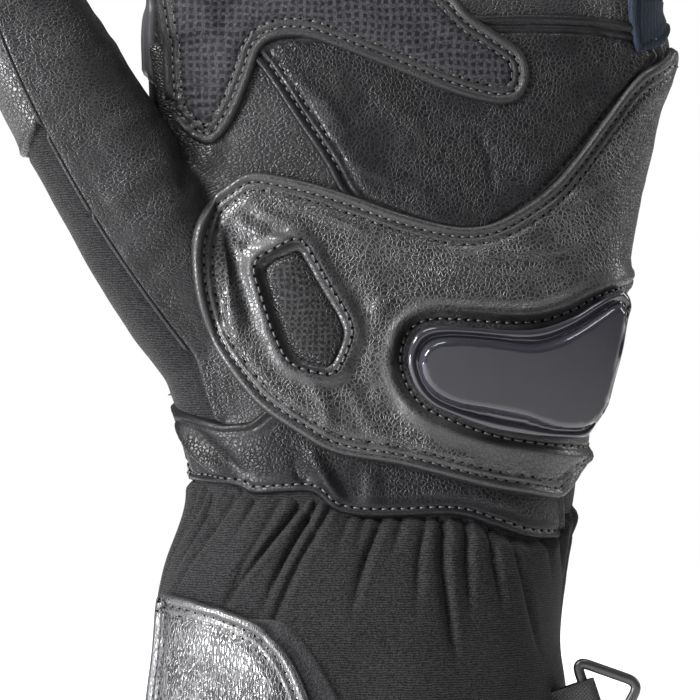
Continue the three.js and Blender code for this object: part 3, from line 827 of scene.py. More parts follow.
class Panel:
    """A piece of material lying on a drape inside a loop: its edge profile, its creases (path,
    height, width) and its details (loop, distances inside it, rises at them)."""

    def __init__(self, drape, loop, base, edge=EDGE, creases=(), details=(), rough=0.0, seed=1,
                 extra=None):
        self.drape, self.loop, self.base, self.edge = drape, loop, base, edge
        self.creases, self.details = creases, details
        self.rough, self.seed, self.extra = rough, seed, extra

    def height(self, uv, depth=None):
        """Height over the drape; depth is the distance from the edge, where it is known."""
        if depth is None:
            depth = edge_depth(uv, self.loop)
        at, rise = zip(*self.edge)
        total = self.base + np.interp(depth, at, rise)
        calm = np.clip(depth / 3, 0, 1)
        for line, amount, width in self.creases:
            line = np.asarray(line, float)
            path = catmull(line, False, 1.5) if len(line) > 2 else line
            distance, where = path_distance(uv, path, False)
            taper = np.clip(np.sin(np.pi * np.clip(where * 1.04, 0.02, 1)), 0, 1) ** 0.5
            total += amount * np.exp(-(distance / width) ** 2) * taper * calm
        for ring, at, rise in self.details:
            near = edge_depth(uv, ring)
            total += np.interp(near, at, rise)
        if self.rough:
            total += self.rough * calm * (noise(uv, 9.0, self.seed) * 0.5
                                          + noise(uv, 4.2, self.seed + 5) * 0.3
                                          + noise(uv, 2.1, self.seed + 9) * 0.15)
        if self.extra is not None:
            total += self.extra(uv) * calm
        return total

    def scatter(self, spacing):
        """Unrolled points for the mesh, the edge's first, and their distances from the edge: rings
        along the edge and round each detail, and even rows between."""
        loop = self.loop
        rings, depths = [loop], [np.zeros(len(loop))]
        for distance in (0.3, 0.65, 1.1, 1.55, 1.95, 2.35, 2.8, 3.4):
            ring = inset(loop, distance)
            real = edge_depth(ring, loop)
            keep = real > distance - 0.08
            rings.append(ring[keep])
            depths.append(real[keep])
        low, high = loop.min(0), loop.max(0)
        rows = int((high[1] - low[1]) / (spacing * 0.87)) + 1
        spots = []
        for r in range(rows):
            xs = np.arange(low[0] + (r % 2) * spacing / 2, high[0], spacing)
            spots.append(np.column_stack([xs, np.full(len(xs), low[1] + r * spacing * 0.87)]))
        spots = np.concatenate(spots)
        depth = edge_depth(spots, loop)
        keep = depth > 3.75
        spots, depth = spots[keep], depth[keep]
        extra = []
        for ring, at, rise in self.details:
            near = edge_depth(spots, ring)
            inner, outer = min(at), max(at)
            far = (near < inner) | (near > outer)
            spots, depth = spots[far], depth[far]
            for distance in at:
                moved = inset(ring, distance)
                real = edge_depth(moved, ring)
                good = np.abs(real - distance) < 0.1
                extra.append(moved[good])
        rings.append(spots)
        depths.append(depth)
        for ring in extra:
            away = edge_depth(ring, loop)
            rings.append(ring[away > 0.3])
            depths.append(away[away > 0.3])
        return np.concatenate(rings), np.concatenate(depths)

    def build(self, name, material, body, replaces=(), spacing=0.62, skirt=1.6, rim=None):
        """The panel as a mesh with a skirt round it; rim is a strip along the edge that becomes a
        piece of its own: name, material, width."""
        uv, depth = self.scatter(spacing)
        count = len(self.loop)
        edges = [(k, (k + 1) % count) for k in range(count)]
        out = delaunay_2d_cdt([Vector(p) for p in uv], edges, [], 1, 1e-5)
        flat, faces, source = out[0], out[2], out[3]
        first = np.array([s[0] if s else -1 for s in source])
        uv2 = np.array([(p[0], p[1]) for p in flat])
        depth2 = np.where(first >= 0, depth[np.maximum(first, 0)], 0)
        place = {s: k for k, s in enumerate(first)}
        border = [place[k] for k in range(count) if k in place]
        height = self.height(uv2, depth2)
        points, _ = self.drape.place(uv2, height)
        if skirt:
            lower, _ = self.drape.place(uv2[border], height[border] - skirt)
            start = len(points)
            points = np.vstack([points, lower])
            depth2 = np.concatenate([depth2, np.zeros(len(border))])
            ccw = turning(self.loop) > 0
            for k in range(len(border)):
                a, b = border[k], border[(k + 1) % len(border)]
                c, d = start + (k + 1) % len(border), start + k
                faces.append((b, a, d, c) if ccw else (a, b, c, d))
        faces = [tuple(face) for face in faces]
        if self.drape.flip:
            faces = [face[::-1] for face in faces]
        if rim:
            rim_name, rim_material, width = rim
            outer = [face for face in faces if depth2[list(face)].mean() < width]
            faces = [face for face in faces if depth2[list(face)].mean() >= width]
            settle(make_object(rim_name, *used_only(points, outer), rim_material), body)
        else:
            calm = smoothstep(4.8, 3.9, depth2)
            for ring, at, rise in self.details:
                near = edge_depth(uv2, ring)
                near = np.concatenate([near, np.full(len(points) - len(near), -99.0)])
                calm = np.maximum(calm, smoothstep(min(at) + 0.3, min(at) + 1.5, near))
            points = np.column_stack([points, calm])
        return settle(make_object(name, *used_only(points, faces), material), body, replaces)


def needle_holes(panel, path, where, points, faces):
    """Adds a small near-black cone at each place along the path, its point up and its rim sunk:
    painted shade for the needle hole there.
    """
    spots, out = panel.drape.place(walk(path, where), panel.height(walk(path, where)) + 0.4)
    ahead = walk(path, where + 0.3)
    ahead, _ = panel.drape.place(ahead, panel.height(ahead) + 0.4)
    for spot, far, up in zip(spots, ahead, out):
        forward = far - spot
        size = np.linalg.norm(forward)
        if size < 0.05:
            continue
        forward *= NEEDLE_HOLE[0] / size
        side = np.cross(forward, up) * NEEDLE_HOLE[1] / NEEDLE_HOLE[0]
        base = len(points)
        points.append(spot)
        for k in range(8):
            a = math.pi * k / 4
            points.append(spot + forward * math.cos(a) + side * math.sin(a) - up * 0.12)
        faces += [(base, base + 1 + k, base + 1 + (k + 1) % 8) for k in range(8)]


def double_row(loop):
    return [closed(inset(loop, row)) for row in STITCH_ROWS]


def stitches(name, panel, paths, body, length=1.5, pitch=2.05, thick=0.29, lift=0.2):
    """One mesh of thread stitches lying along the paths on a panel, and one of near-black cones at
    the holes that they pass through, painted shade for those holes."""
    points, faces = [], []
    spots, rounds = [], []
    sides, stations = 6, ((-1, 0.25), (-0.8, 0.8), (0, 1.0), (0.8, 0.8), (1, 0.25))
    for path in paths:
        along = lengths(path)
        needle_holes(panel, path, np.arange(0.0, along[-1], pitch), spots, rounds)
        middles = np.arange(pitch / 2, along[-1], pitch)
        where = (middles[:, None] + np.array([s for s, _ in stations]) * length / 2).ravel()
        uv = walk(path, where)
        centre, normal = panel.drape.place(uv, panel.height(uv) + lift)
        centre = centre.reshape(-1, len(stations), 3)
        normal = normal.reshape(-1, len(stations), 3)
        for c, n in zip(centre, normal):
            along_it = c[-1] - c[0]
            size = np.linalg.norm(along_it)
            if size < 0.3 * length:
                continue
            along_it /= size
            up = n[2] - along_it * (n[2] @ along_it)
            up /= np.linalg.norm(up)
            side = np.cross(along_it, up)
            base = len(points)
            for (s, wide), spot in zip(stations, c):
                drop = up * (-0.16 * s * s)
                for k in range(sides):
                    a = 2 * math.pi * k / sides
                    points.append(spot + drop + (side * math.cos(a) + up * math.sin(a))
                                  * thick * wide)
            faces += tube(len(stations), sides, base)
    settle(make_object(name.replace("stitching", "needle_holes"), spots, rounds, HOLE_SHADE), body)
    return settle(make_object(name, points, faces, THREAD), body)


def piping(name, centre, normal, radius, material, body, sides=8):
    """A corded edge through the centres given, with its ends tapered and sunk."""
    count = len(centre)
    sunk = np.clip(np.minimum(np.arange(count), np.arange(count)[::-1]) / 4, 0, 1)
    centre = centre - normal * 2.2 * (1 - sunk)[:, None]
    along = np.gradient(centre, axis=0)
    along /= np.linalg.norm(along, axis=1)[:, None]
    side = np.cross(along, normal)
    points = []
    for k in range(count):
        size = radius * (0.5 + 0.5 * sunk[k])
        for s in range(sides):
            a = 2 * math.pi * s / sides
            points.append(centre[k] + (side[k] * math.cos(a) + normal[k] * math.sin(a)) * size)
    return settle(make_object(name, points, tube(count, sides), material), body)


def part_of(loop, test):
    """The longest run of a loop's points that passes the test."""
    flags = test(loop)
    if flags.all():
        return closed(loop)
    start = int(np.argmin(flags))
    turned, flags = np.roll(loop, -start, 0), np.roll(flags, -start)
    best, run = (0, 0), 0
    for k, flag in enumerate(flags):
        run = run + 1 if flag else 0
        if run > best[1] - best[0]:
            best = (k + 1 - run, k + 1)
    return turned[best[0]:best[1]]


# ------------------------------------------------------------------ skin and its pieces
skin = skin_mesh("skin")
skin_points = mesh_points(skin)
skin_faces = [tuple(p.vertices) for p in skin.polygons]


def digit_start(digit):
    """Where a digit's own pieces start, along it."""
    return 1.0 if digit is THUMB else 3.0


def digit_of(points):
    """For each point, the number of the digit it belongs to, or -1 for the hand."""
    owner = np.full(len(points), -1)
    for k, digit in enumerate(DIGITS):
        q = digit.local(points)
        if digit is THUMB:
            reach = np.maximum(21.0 - 0.22 * q[:, 2], 15.5)
            mine = (q[:, 2] > digit_start(digit)) & (q[:, 0] < reach) & (q[:, 2] < 80)
        else:
            half = 16.0 if digit.name != "little" else 20.0
            mine = (q[:, 2] > digit_start(digit)) & (np.abs(q[:, 0]) < half) & (q[:, 2] < 110)
            mine &= (owner < 0) | (np.abs(q[:, 0]) < 13.5)
        owner[mine & (owner != len(DIGITS) - 1)] = k
    return owner


face_centres = np.array([skin_points[list(face)].mean(0) for face in skin_faces])
on_thumb = (digit_of(face_centres) == len(DIGITS) - 1) & (THUMB.local(face_centres)[:, 2] > 10)
palm_faces = [face for face, away in zip(skin_faces, on_thumb) if not away]
PALM_TREE = BVHTree.FromPolygons([Vector(p) for p in skin_points], palm_faces)


def palm_turn(v):
    left, right, front, back = (float(value) for value in section(min(v, 203.0)))
    wraps = v < 118 or v > 180
    return ((left + 16.0) if wraps else -400.0, right - 18.0, 13.0 if v > 180 else 20.0, 19.0,
            (front + back) / 2)


PALM = Drape(PALM_TREE, (-80, 84), (96, 214), palm_turn)
BACK = Drape(PALM_TREE, (-80, 84), (80, 214), lambda v: (-400.0, 400.0, 20.0, 20.0, 0.0),
             facing=1.0)


# ------------------------------------------------------------------ palm panels
def seen(points):
    return PALM.unwrap(points)


OVERLAY_TOP = [(-34.8, 162.4), (-31.6, 164.6), (-28.9, 165.2), (-19, 163.4), (-8.3, 160.2),
               (2.6, 156.3), (14.6, 153.3), (20, 153.4), (24, 154.6), (33, 160.2), (40.5, 168),
               (48, 178.2), (54.8, 187), (60, 190.6)]
OVERLAY_SIDE = [(72, 193.5), (77, 187), (72, 165), (68, 145), (63, 125), (56, 112)]
OVERLAY_CORNER = [(44.3, 105.2), (41, 99.5), (38.2, 95.4)]
OVERLAY_BOTTOM = [(36.6, 94.2), (28, 95.4), (20, 97.0), (2.6, 101.5), (-12, 104.2),
                  (-19.5, 108.4), (-27.4, 113.9), (-32, 119), (-37, 126), (-40.6, 133.5),
                  (-42.6, 143), (-42.4, 152), (-39.5, 158.5)]
OVERLAY = smooth_loop(np.vstack([seen(OVERLAY_TOP), OVERLAY_SIDE, seen(OVERLAY_CORNER),
                                 OVERLAY_BOTTOM]), 0.8)
HEX = rounded(seen([(-19.8, 149.6), (-27.4, 145.5), (-28.0, 143.4), (-24.2, 131.1),
                    (-21.5, 125.2), (-19.2, 123.2), (-12.1, 121.5), (-10.4, 124.7),
                    (-8.4, 130.2), (-9.6, 133.4), (-14.2, 141), (-18.4, 148.6)]), 1.8, 0.5)
LIP = [(4.1, 123.5), (4.6, 127.4), (6.1, 130), (8.9, 131.4), (17.6, 131.3), (25.4, 130.7),
       (33.3, 131.2), (40.9, 134.0), (44.8, 136.4), (49.8, 138.9), (52.0, 139.2), (53.4, 136.5),
       (52.6, 132.8), (51.5, 126.5), (49.6, 119.6), (48.0, 114.1), (45.7, 110.7), (43.3, 107.8),
       (37.2, 107.6), (29.3, 108.3), (21.5, 109.8), (13.7, 112.6), (9.1, 114.8), (6.1, 118)]
TOP_FACE = [(7.6, 123.5), (8.7, 126.1), (11.5, 127.6), (21.5, 127.4), (31.3, 126.1),
            (37.2, 127.4), (42.8, 130.4), (48.0, 133.9), (50.6, 135.6), (51.9, 134.6),
            (51.2, 130.6), (49.8, 123.5), (48.3, 117.2), (46.3, 112.2), (44.1, 110.7),
            (37.2, 110.4), (29.3, 113.3), (21.5, 114.8), (13.7, 116.1), (9.6, 118.7)]
SLIDER_LIP = smooth_loop(seen(LIP), 0.6)
PLATE_LIP = smooth_loop(LIP, 0.6)
PLATE_TOP = smooth_loop(TOP_FACE, 0.6)

HEX_RIM = (HEX, (-5.0, -3.6, -2.6, -1.7, -0.9, -0.3, 0.2, 0.8),
           (0, 0.25, 0.85, 1.0, 0.75, 0.0, -1.3, -1.4))
SLIDER_RIM = (SLIDER_LIP, (-7.5, -5.6, -4.6, -3.7, -2.9, -2.2, -1.5, -0.8, 0.0, 0.8),
              (0, 0.5, 1.3, 1.55, 1.3, 0.55, -0.2, -0.1, -0.3, -0.6))
OVERLAY_FOLDS = [
    ([(-30, 158), (-24, 155), (-16, 153)], 0.9, 1.3),
    ([(-33, 155), (-26, 151), (-18, 149.5)], 0.8, 1.2),
    ([(-34, 151), (-27, 147.6), (-22, 147)], -0.5, 1.0),
    ([(-26, 158.5), (-16, 156.5), (-4, 152)], 0.7, 1.1),
    ([(-38, 152), (-35.5, 143), (-33, 133), (-32, 126)], 1.3, 2.0),
    ([(-35, 150), (-31.5, 140), (-29, 130)], -1.0, 1.4),
    ([(-2, 150), (8, 146), (22, 147), (36, 153)], 0.7, 3.0),
    ([(-6, 144), (-2, 136), (-3, 124), (0, 112)], 0.9, 2.6),
    ([(-31, 124), (-24, 117), (-14, 112)], 0.6, 1.6),
    ([(-17, 119), (-13.5, 114), (-13.5, 107)], 0.9, 1.7),
    ([(-6, 134), (0, 136.5), (6, 137.6)], 0.5, 1.2),
    ([(-5, 129), (-1, 128), (1, 125)], -0.4, 1.1),
    ([(8, 141), (20, 143.4), (34, 143.6), (47, 148)], 0.45, 1.0),
    ([(12, 145), (24, 147), (40, 149), (52, 155)], 0.45, 1.0),
    ([(4, 104), (18, 103), (34, 100.5)], 0.5, 1.0),
    ([(10, 107), (22, 104.8), (36, 103.5)], -0.4, 0.9),
    ([(30, 155), (42, 160), (54, 166)], 0.4, 1.2),
    ([(-8, 118), (-4, 110), (2, 105)], 0.5, 1.6),
]
overlay = Panel(PALM, OVERLAY, 1.55, EDGE, OVERLAY_FOLDS, (HEX_RIM, SLIDER_RIM), 0.42, 11)
overlay.build("palm_overlay", PALM_LEATHER, "hand", ("palm_overlay", "slider_bezel"))
stitches("overlay_stitching", overlay,
         double_row(OVERLAY) + [closed(inset(HEX, -0.95)), closed(inset(SLIDER_LIP, -1.5))], "hand")

hex_pad = Panel(PALM, inset(HEX, 0.45), 0.55, ((0, -0.6), (0.5, 0.1), (1.2, 0.45), (3, 0.9),
                                             (7, 1.2), (12, 1.3)), rough=0.2, seed=4)
pad = hex_pad.build("thenar_pad", PAD_PRINT, "hand", ("thenar_pad",), 0.5,
                    rim=("thenar_rim", FINE_LEATHER, 2.2))


def slider_height(uv):
    outer = np.maximum(edge_depth(uv, PLATE_LIP), 0)
    inner = np.maximum(-edge_depth(uv, PLATE_TOP), 0)
    share = outer / np.maximum(outer + inner, 1e-6)
    return np.interp(share, (0, 0.08, 0.2, 0.32, 0.44, 0.58, 0.76, 0.86, 0.94, 1.0),
                     (1.2, 1.85, 2.15, 1.95, 1.3, 1.2, 3.1, 3.95, 4.3, 4.36))


class StiffDrape:
    """The slider's plate is stiff: its top keeps to one gentle curve instead of following the
    leather under it. The curve just clears the leather everywhere."""

    BOW = 0.0048

    def __init__(self, drape):
        self.drape, self.flip = drape, drape.flip
        uv = seen(PLATE_TOP)
        p, _ = drape.place(uv, np.full(len(uv), 5.6))
        self.terms = np.linalg.lstsq(self.basis(p), p[:, 1] - self.bow(p), rcond=None)[0]
        spots = np.vstack([uv * k + uv.mean(0) * (1 - k) for k in (0.2, 0.5, 0.8, 1.0)])
        p, _ = drape.place(spots, np.full(len(spots), 5.2))
        self.terms[0] += (p[:, 1] - self.basis(p) @ self.terms - self.bow(p)).min()

    def basis(self, p):
        return np.column_stack([np.ones(len(p)), p[:, 0] - 30, p[:, 2] - 122])

    def bow(self, p):
        return self.BOW * (p[:, 0] - 12) ** 2

    def place(self, uv, height):
        p = np.column_stack([uv[:, 0], np.zeros(len(uv)), uv[:, 1]])
        p[:, 1] = self.basis(p) @ self.terms + self.bow(p) + 5.66 - np.asarray(height)
        return p, np.tile([0.0, -1.0, 0.0], (len(uv), 1))


slider = Panel(StiffDrape(PALM), PLATE_LIP, 1.3, ((0, 0), (9, 0)))
slider.height = lambda uv, depth=None: 1.3 + slider_height(uv)
slider.build("palm_slider", SLIDER, "hand", ("palm_slider",), 0.42, 6.0)

BAND_HEM = [(37.6, 85.2), (30, 85.8), (22.8, 88.2), (16.9, 90.2), (13.0, 90.7), (1.7, 90.3),
            (-6.3, 90.4), (-12.2, 91.9), (-16.1, 95.4), (-22, 95.5), (-30, 95.2), (-31.5, 96.4),
            (-43, 98.0), (-52, 99.5), (-60, 100.5)]
BAND_TOP = [(-62, 108), (-58, 117.5), (-52, 117.2), (-48.5, 115.6), (-43, 112.4), (-35.4, 110.4),
            (-30, 110.8), (-24, 116), (-14, 112), (0, 106), (20, 101), (37.5, 98.4), (38.2, 92)]
BAND = resample(np.vstack([catmull(seen(BAND_HEM[:-2]), False, 0.8), BAND_HEM[-2:],
                           BAND_TOP[:3], seen(BAND_TOP[3:])]), True, 0.8)
BAND_FOLDS = [
    ([(-52, 114), (-45, 107), (-37.5, 101), (-31.4, 96.6)], 2.3, 1.4),
    ([(-45, 111), (-37, 105), (-29.6, 98)], -0.9, 1.3),
    ([(-51, 108), (-46, 103), (-43.5, 98.5)], 1.1, 1.3),
    ([(-48, 105), (-42, 100), (-38, 97.5)], -0.8, 1.1),
    ([(-17, 105), (-14, 99.5), (-10, 92.5)], 2.1, 1.6),
    ([(-20.5, 104), (-19, 100), (-17, 96.2)], -1.0, 1.2),
    ([(-4, 101), (-3.5, 96), (-5, 91)], 0.9, 2.2),
    ([(6, 97), (16, 95.2), (30, 92)], 0.4, 1.2),
]
band = Panel(PALM, BAND, 0.5, SINGLE, BAND_FOLDS, rough=0.3, seed=3)
band.build("wrist_band", BAND_LEATHER, WRIST_BLEND, ("wrist_band",))
hem_line = part_of(inset(BAND, 1.75), lambda p: (p[:, 1] < 103) & (p[:, 0] < 36.4))
stitches("band_stitching", band, [hem_line], WRIST_BLEND)

UPPER = smooth_loop(seen([(-32, 193.5), (-27.4, 187.4), (-20.5, 177), (-13.7, 166.7), (-10, 160),
                          (-6, 156), (6, 151), (16, 148.5), (24, 150), (34, 157), (44, 168.5),
                          (52, 179), (58, 186), (61, 191), (58, 196.5), (50, 199), (36, 200),
                          (14, 199.5), (-10, 198), (-24, 197)]), 0.9)
UPPER_FOLDS = [
    ([(-22, 186), (-14, 181), (-8, 172)], 0.5, 1.4),
    ([(18, 176), (22, 168), (23, 160)], -0.5, 1.0),
    ([(-4, 182), (4, 178), (10, 170)], 0.4, 1.8),
    ([(-10, 168), (0, 164), (10, 160)], 0.5, 1.5),
    ([(30, 178), (38, 176), (50, 182)], 0.5, 1.6),
]
upper = Panel(PALM, UPPER, 0.55, EDGE, UPPER_FOLDS, rough=0.45, seed=21)
upper.build("upper_palm", BAND_LEATHER, "hand", ("palm_shell",))


def lap(p):
    """The stretch of the upper palm's edge that laps over the thumb side."""
    return (p[:, 1] < 190) & (p[:, 1] > 164) & (p[:, 0] < -10)


stitches("upper_stitching", upper, [part_of(inset(UPPER, row), lap) for row in STITCH_ROWS], "hand")

GRIP_LOOP = [(-49.4, 207), (-49.3, 196), (-48.9, 189.6), (-47.4, 179), (-44.6, 174.4),
             (-41.0, 171.9), (-38.3, 171.4), (-35.4, 174), (-32.8, 178.3), (-29.4, 187),
             (-27.4, 192.6), (-24.6, 194.4), (-19, 194.8), (-10, 192), (3.3, 186.7),
             (12.2, 183), (19.3, 180.8), (25.4, 180.0), (29.1, 181.5), (30.9, 186.3),
             (29.6, 191.5), (24.6, 195.4), (18, 200), (14.3, 204), (8, 207.5)]
GRIP_PANEL = smooth_loop(seen(GRIP_LOOP), 0.8)


def arcs(uv):
    """Curved wrinkles at the lower tip of the grip panel, round the crotch of the thumb."""
    away = np.hypot(uv[:, 0] + 39.5, uv[:, 1] - 166)
    swing = np.sin(2 * math.pi * away / 2.3 + 0.6 * noise(uv, 3.0, 2))
    return 0.32 * swing * smoothstep(25, 14, away) * smoothstep(4, 8, away)


grip = Panel(PALM, GRIP_PANEL, 1.25, EDGE, [
    ([(-40, 205), (-38, 196), (-33, 190)], 0.5, 2.0),
    ([(-20, 203), (-8, 200), (8, 194)], 0.45, 2.2),
], rough=0.25, seed=31, extra=arcs)
grip.build("grip_panel", GRIP, "hand", ("grip_panel",), rim=("grip_binding", EDGE_LEATHER, 4.4))
stitches("grip_stitching", grip,
         [part_of(inset(GRIP_PANEL, row), lambda p, top=top: p[:, 1] < top)
          for row, top in zip(STITCH_ROWS, (204, 203))], "hand")

STRIP = smooth_loop([(-52.6, 207), (-52.6, 196), (-52.4, 188), (-50.5, 181.5), (-56, 183.5),
                     (-58.6, 188), (-59.4, 196), (-59.4, 207)], 0.7)
Panel(PALM, STRIP, 0.8, SINGLE).build("index_strip", GREY, "hand")
SIDE = resample(np.vstack([seen([(52.4, 206), (53.0, 198), (54.0, 191.4), (60, 193.5)]),
                           [(72, 197), (80, 199), (80, 206)]]), True, 0.9)
side_panel = Panel(PALM, SIDE, 0.9, SINGLE, rough=0.3, seed=8)
side_panel.build("side_panel", KNIT, "hand", ("side_panel",))


# ------------------------------------------------------------------ skin pieces
# The leather's edge on the thumb is a plane in the thumb's own coordinates.
SEAM_SLANT = np.array([0.614, -0.789, -0.071])
SEAM_POINT = np.array([-7.3, -24.5, 0.0])
SEAM_REACH = -(SEAM_POINT @ SEAM_SLANT)


def seam_depth(points):
    """How far inside the leather a point of the hand or thumb is; negative on the softshell."""
    slant = THUMB.local(points) @ SEAM_SLANT + SEAM_REACH
    return np.minimum(slant, SIDE_SEAM - points[:, 1])


FINGER_SEAM = 2.0        # the same edge on a finger, towards the back from its middle

# The seam of the leather cap over the thumb's tip, on the softshell side: across, along.
CAP_POINT = np.array([-6.3, 24.4])
CAP_NORMAL = np.array([-0.558, 0.829])


def cap_depth(points):
    return (THUMB.local(points)[:, [0, 2]] - CAP_POINT) @ CAP_NORMAL


def cut_skin(source, planes):
    """The skin as a bmesh in millimetres, with edges along every plane."""
    work = bmesh.new()
    work.from_mesh(source)
    bmesh.ops.scale(work, vec=(1 / MM,) * 3, verts=work.verts)
    for point, normal, box in planes:
        inside_box = [f for f in work.faces
                      if all(box[0][k] < f.calc_center_median()[k] < box[1][k] for k in range(3))]
        geom = set(inside_box)
        for face in inside_box:
            geom.update(face.edges)
            geom.update(face.verts)
        bmesh.ops.bisect_plane(work, geom=list(geom), dist=1e-4, plane_co=Vector(point),
                               plane_no=Vector(normal))
    return work


EVERYWHERE = ((-1e3,) * 3, (1e3,) * 3)


def skin_planes(fine):
    """The planes that cut the skin into pieces: point, normal, and the box they cut in. With fine
    there are more along each seam, for its rolled edge."""
    thumb_axes = np.array([THUMB.across, (0, 1, 0), THUMB.along])
    slant = SEAM_SLANT @ thumb_axes
    cap = np.array([CAP_NORMAL[0], 0, CAP_NORMAL[1]]) @ thumb_axes
    seam_at, cap_at = THUMB.world([SEAM_POINT, (CAP_POINT[0], 0, CAP_POINT[1])])
    seams = (
        (seam_at, slant / np.linalg.norm(slant), (-0.5, 0.0, 0.35, 0.8, 1.4),
         ((-120, -60, 90), (-14, 60, 260))),
        (cap_at, cap, (-0.3, 0.0, 0.4, 0.9), ((-110, -60, 150), (-60, 30, 200))),
        (np.array([0, SIDE_SEAM, 0]), np.array([0, 1, 0]), (-0.4, 0.0, 0.4),
         ((-70, 0, 80), (90, 9, 214))),
    )
    planes = []
    for point, normal, shifts, box in seams:
        for shift in shifts if fine else (0.0,):
            planes.append((point + normal * shift, normal, box))
    for digit in DIGITS:
        box = (tuple(digit.root - (34, 60, 70)), tuple(digit.root + (34, 60, 120)))
        for t in (digit_start(digit), digit.middle):
            a, b = digit.world([[0, 0, t - 0.05], [0, 0, t + 0.05]])
            planes.append(((a + b) / 2, (b - a), box))
        if digit is not THUMB:
            for t in (6.0, (digit.hinges[0] + digit.hinges[1]) / 2, digit.hinges[1] + 8):
                a, b = digit.world([[0, FINGER_SEAM, t - 0.05], [0, FINGER_SEAM, t + 0.05]])
                normal = np.cross(b - a, digit.across)
                planes.append(((a + b) / 2, normal / np.linalg.norm(normal), box))
    planes.append(((0, 0, HAND_FROM), (0, 0, 1), EVERYWHERE))
    return planes


def leather_side(points, owner):
    """How far inside the leather each point of the whole skin is."""
    depth = seam_depth(points)
    for k, digit in enumerate(DIGITS[:-1]):
        mine = owner == k
        if mine.any():
            depth[mine] = FINGER_SEAM - digit.local(points[mine])[:, 1]
    return depth


# Soft folds where the thumb joins the palm: path seen from the front, height, width.
THUMB_FOLDS = [
    (((-60.5, 157.5), (-54, 164), (-46.7, 168.5)), 0.9, 2.6),
    (((-44.9, 172), (-43.8, 166), (-43.9, 160)), -0.9, 1.6),
    (((-43.7, 166.4), (-39.5, 169), (-35.6, 172.6)), 0.7, 1.8),
    (((-63, 172), (-57, 176), (-51, 177)), 0.5, 2.2),
    (((-58, 150), (-50, 156), (-45, 157)), 0.5, 2.2),
    (((-54, 141), (-48, 147), (-44, 149)), -0.4, 1.8),
]


def skin_height(points, owner):
    """Rolled leather edge along the thumb, seam grooves elsewhere, and soft creases."""
    depth = leather_side(points, owner)
    thumb = THUMB.local(points)
    near_thumb = (thumb[:, 0] < 22) & (thumb[:, 2] > -52)
    ridge = np.interp(depth, (-6, -2, -0.5, 0, 0.35, 0.8, 1.4, 3, 6),
                      (0, -0.4, -0.9, -0.7, 0.5, 1.1, 0.95, 0.45, 0.2))
    groove = np.interp(np.abs(depth), (0, 0.4, 1.0, 2.0), (-0.7, -0.2, 0.1, 0))
    total = np.where(near_thumb & (owner != 0) & (owner != 1), ridge, groove)
    tip_cap = cap_depth(points)
    rolled = np.interp(tip_cap, (-3, -0.9, -0.3, 0, 0.4, 0.9, 2.0, 4.0),
                       (0, 0, -0.3, 0.2, 0.9, 1.15, 0.7, 0.5))
    total += np.where((owner == len(DIGITS) - 1) & (depth < -0.3), rolled, 0)
    wrinkle = noise(np.column_stack([thumb[:, 0] * 0.35, thumb[:, 1] * 0.35, thumb[:, 2]]), 2.8, 4)
    total += np.where(near_thumb & (depth > 0.5), 0.24 * wrinkle, 0)
    for fold, amount, width in THUMB_FOLDS:
        away, along = path_distance(points[:, [0, 2]], np.array(fold, float), False)
        taper = np.sin(np.pi * np.clip(along, 0, 1)) ** 0.5
        total += np.where(depth > 1, amount * np.exp(-(away / width) ** 2) * taper, 0)
    total += 0.25 * noise(points, 8.0, 12) * np.clip(np.abs(depth) / 2, 0, 1)
    return total


def skin_pieces(source, two_sided):
    """The skin cut into pieces, each keyed by its digit's number (-1 for the hand), whether it is
    the digit's tip, and whether it is leather: points, faces and normals. A two-sided skin is the
    outer one, with palm and back pieces and with its seams and folds raised."""
    work = cut_skin(source, skin_planes(two_sided))
    work.verts.ensure_lookup_table()
    work.normal_update()
    points = np.array([v.co[:] for v in work.verts])
    normals = np.array([v.normal[:] for v in work.verts])
    if two_sided:
        points = points + normals * skin_height(points, digit_of(points))[:, None]
        for vert, point in zip(work.verts, points):
            vert.co = point
        work.normal_update()
        normals = np.array([v.normal[:] for v in work.verts])
    faces = [tuple(v.index for v in f.verts) for f in work.faces]
    work.free()
    centres = np.array([points[list(face)].mean(0) for face in faces])
    owner = digit_of(centres)
    leather_face = (leather_side(centres, owner) > 0) & (centres[:, 2] > LEATHER_FROM)
    upper = np.zeros(len(faces), bool)
    for k, digit in enumerate(DIGITS):
        beyond = digit.local(centres)[:, 2] > digit.middle
        if digit is THUMB:
            beyond = np.where(leather_face, beyond, cap_depth(centres) > 0)
        upper |= (owner == k) & beyond
    groups = {}
    for k, face in enumerate(faces):
        if centres[k, 2] > HAND_FROM:
            key = (int(owner[k]), bool(upper[k]), bool(leather_face[k]) if two_sided else True)
            groups.setdefault(key, []).append(face)
    both = np.column_stack([points, normals])
    made = {}
    for key in sorted(groups):
        rows, local = used_only(both, groups[key])
        made[key] = (rows[:, :3], local, rows[:, 3:])
    return made


def digit_body(digit, tip):
    """The blend over a digit's knuckle for its tip, and over its root for its base."""
    if tip:
        first, second, before, after = f"{digit.name}_base", f"{digit.name}_tip", 11.0, 12.0
    else:
        first, second, before, after = "hand", f"{digit.name}_base", 7.5, 12.0
    if digit is THUMB and not tip:
        before, after = 5.0, 13.0
    hinge = digit.hinges[1 if tip else 0]
    start, end = digit.world([[0, 0, hinge - before], [0, 0, hinge + after]])
    return (first, second, start, end)


SKIN_TREE = BVHTree.FromPolygons([Vector(p) for p in skin_points], skin_faces)


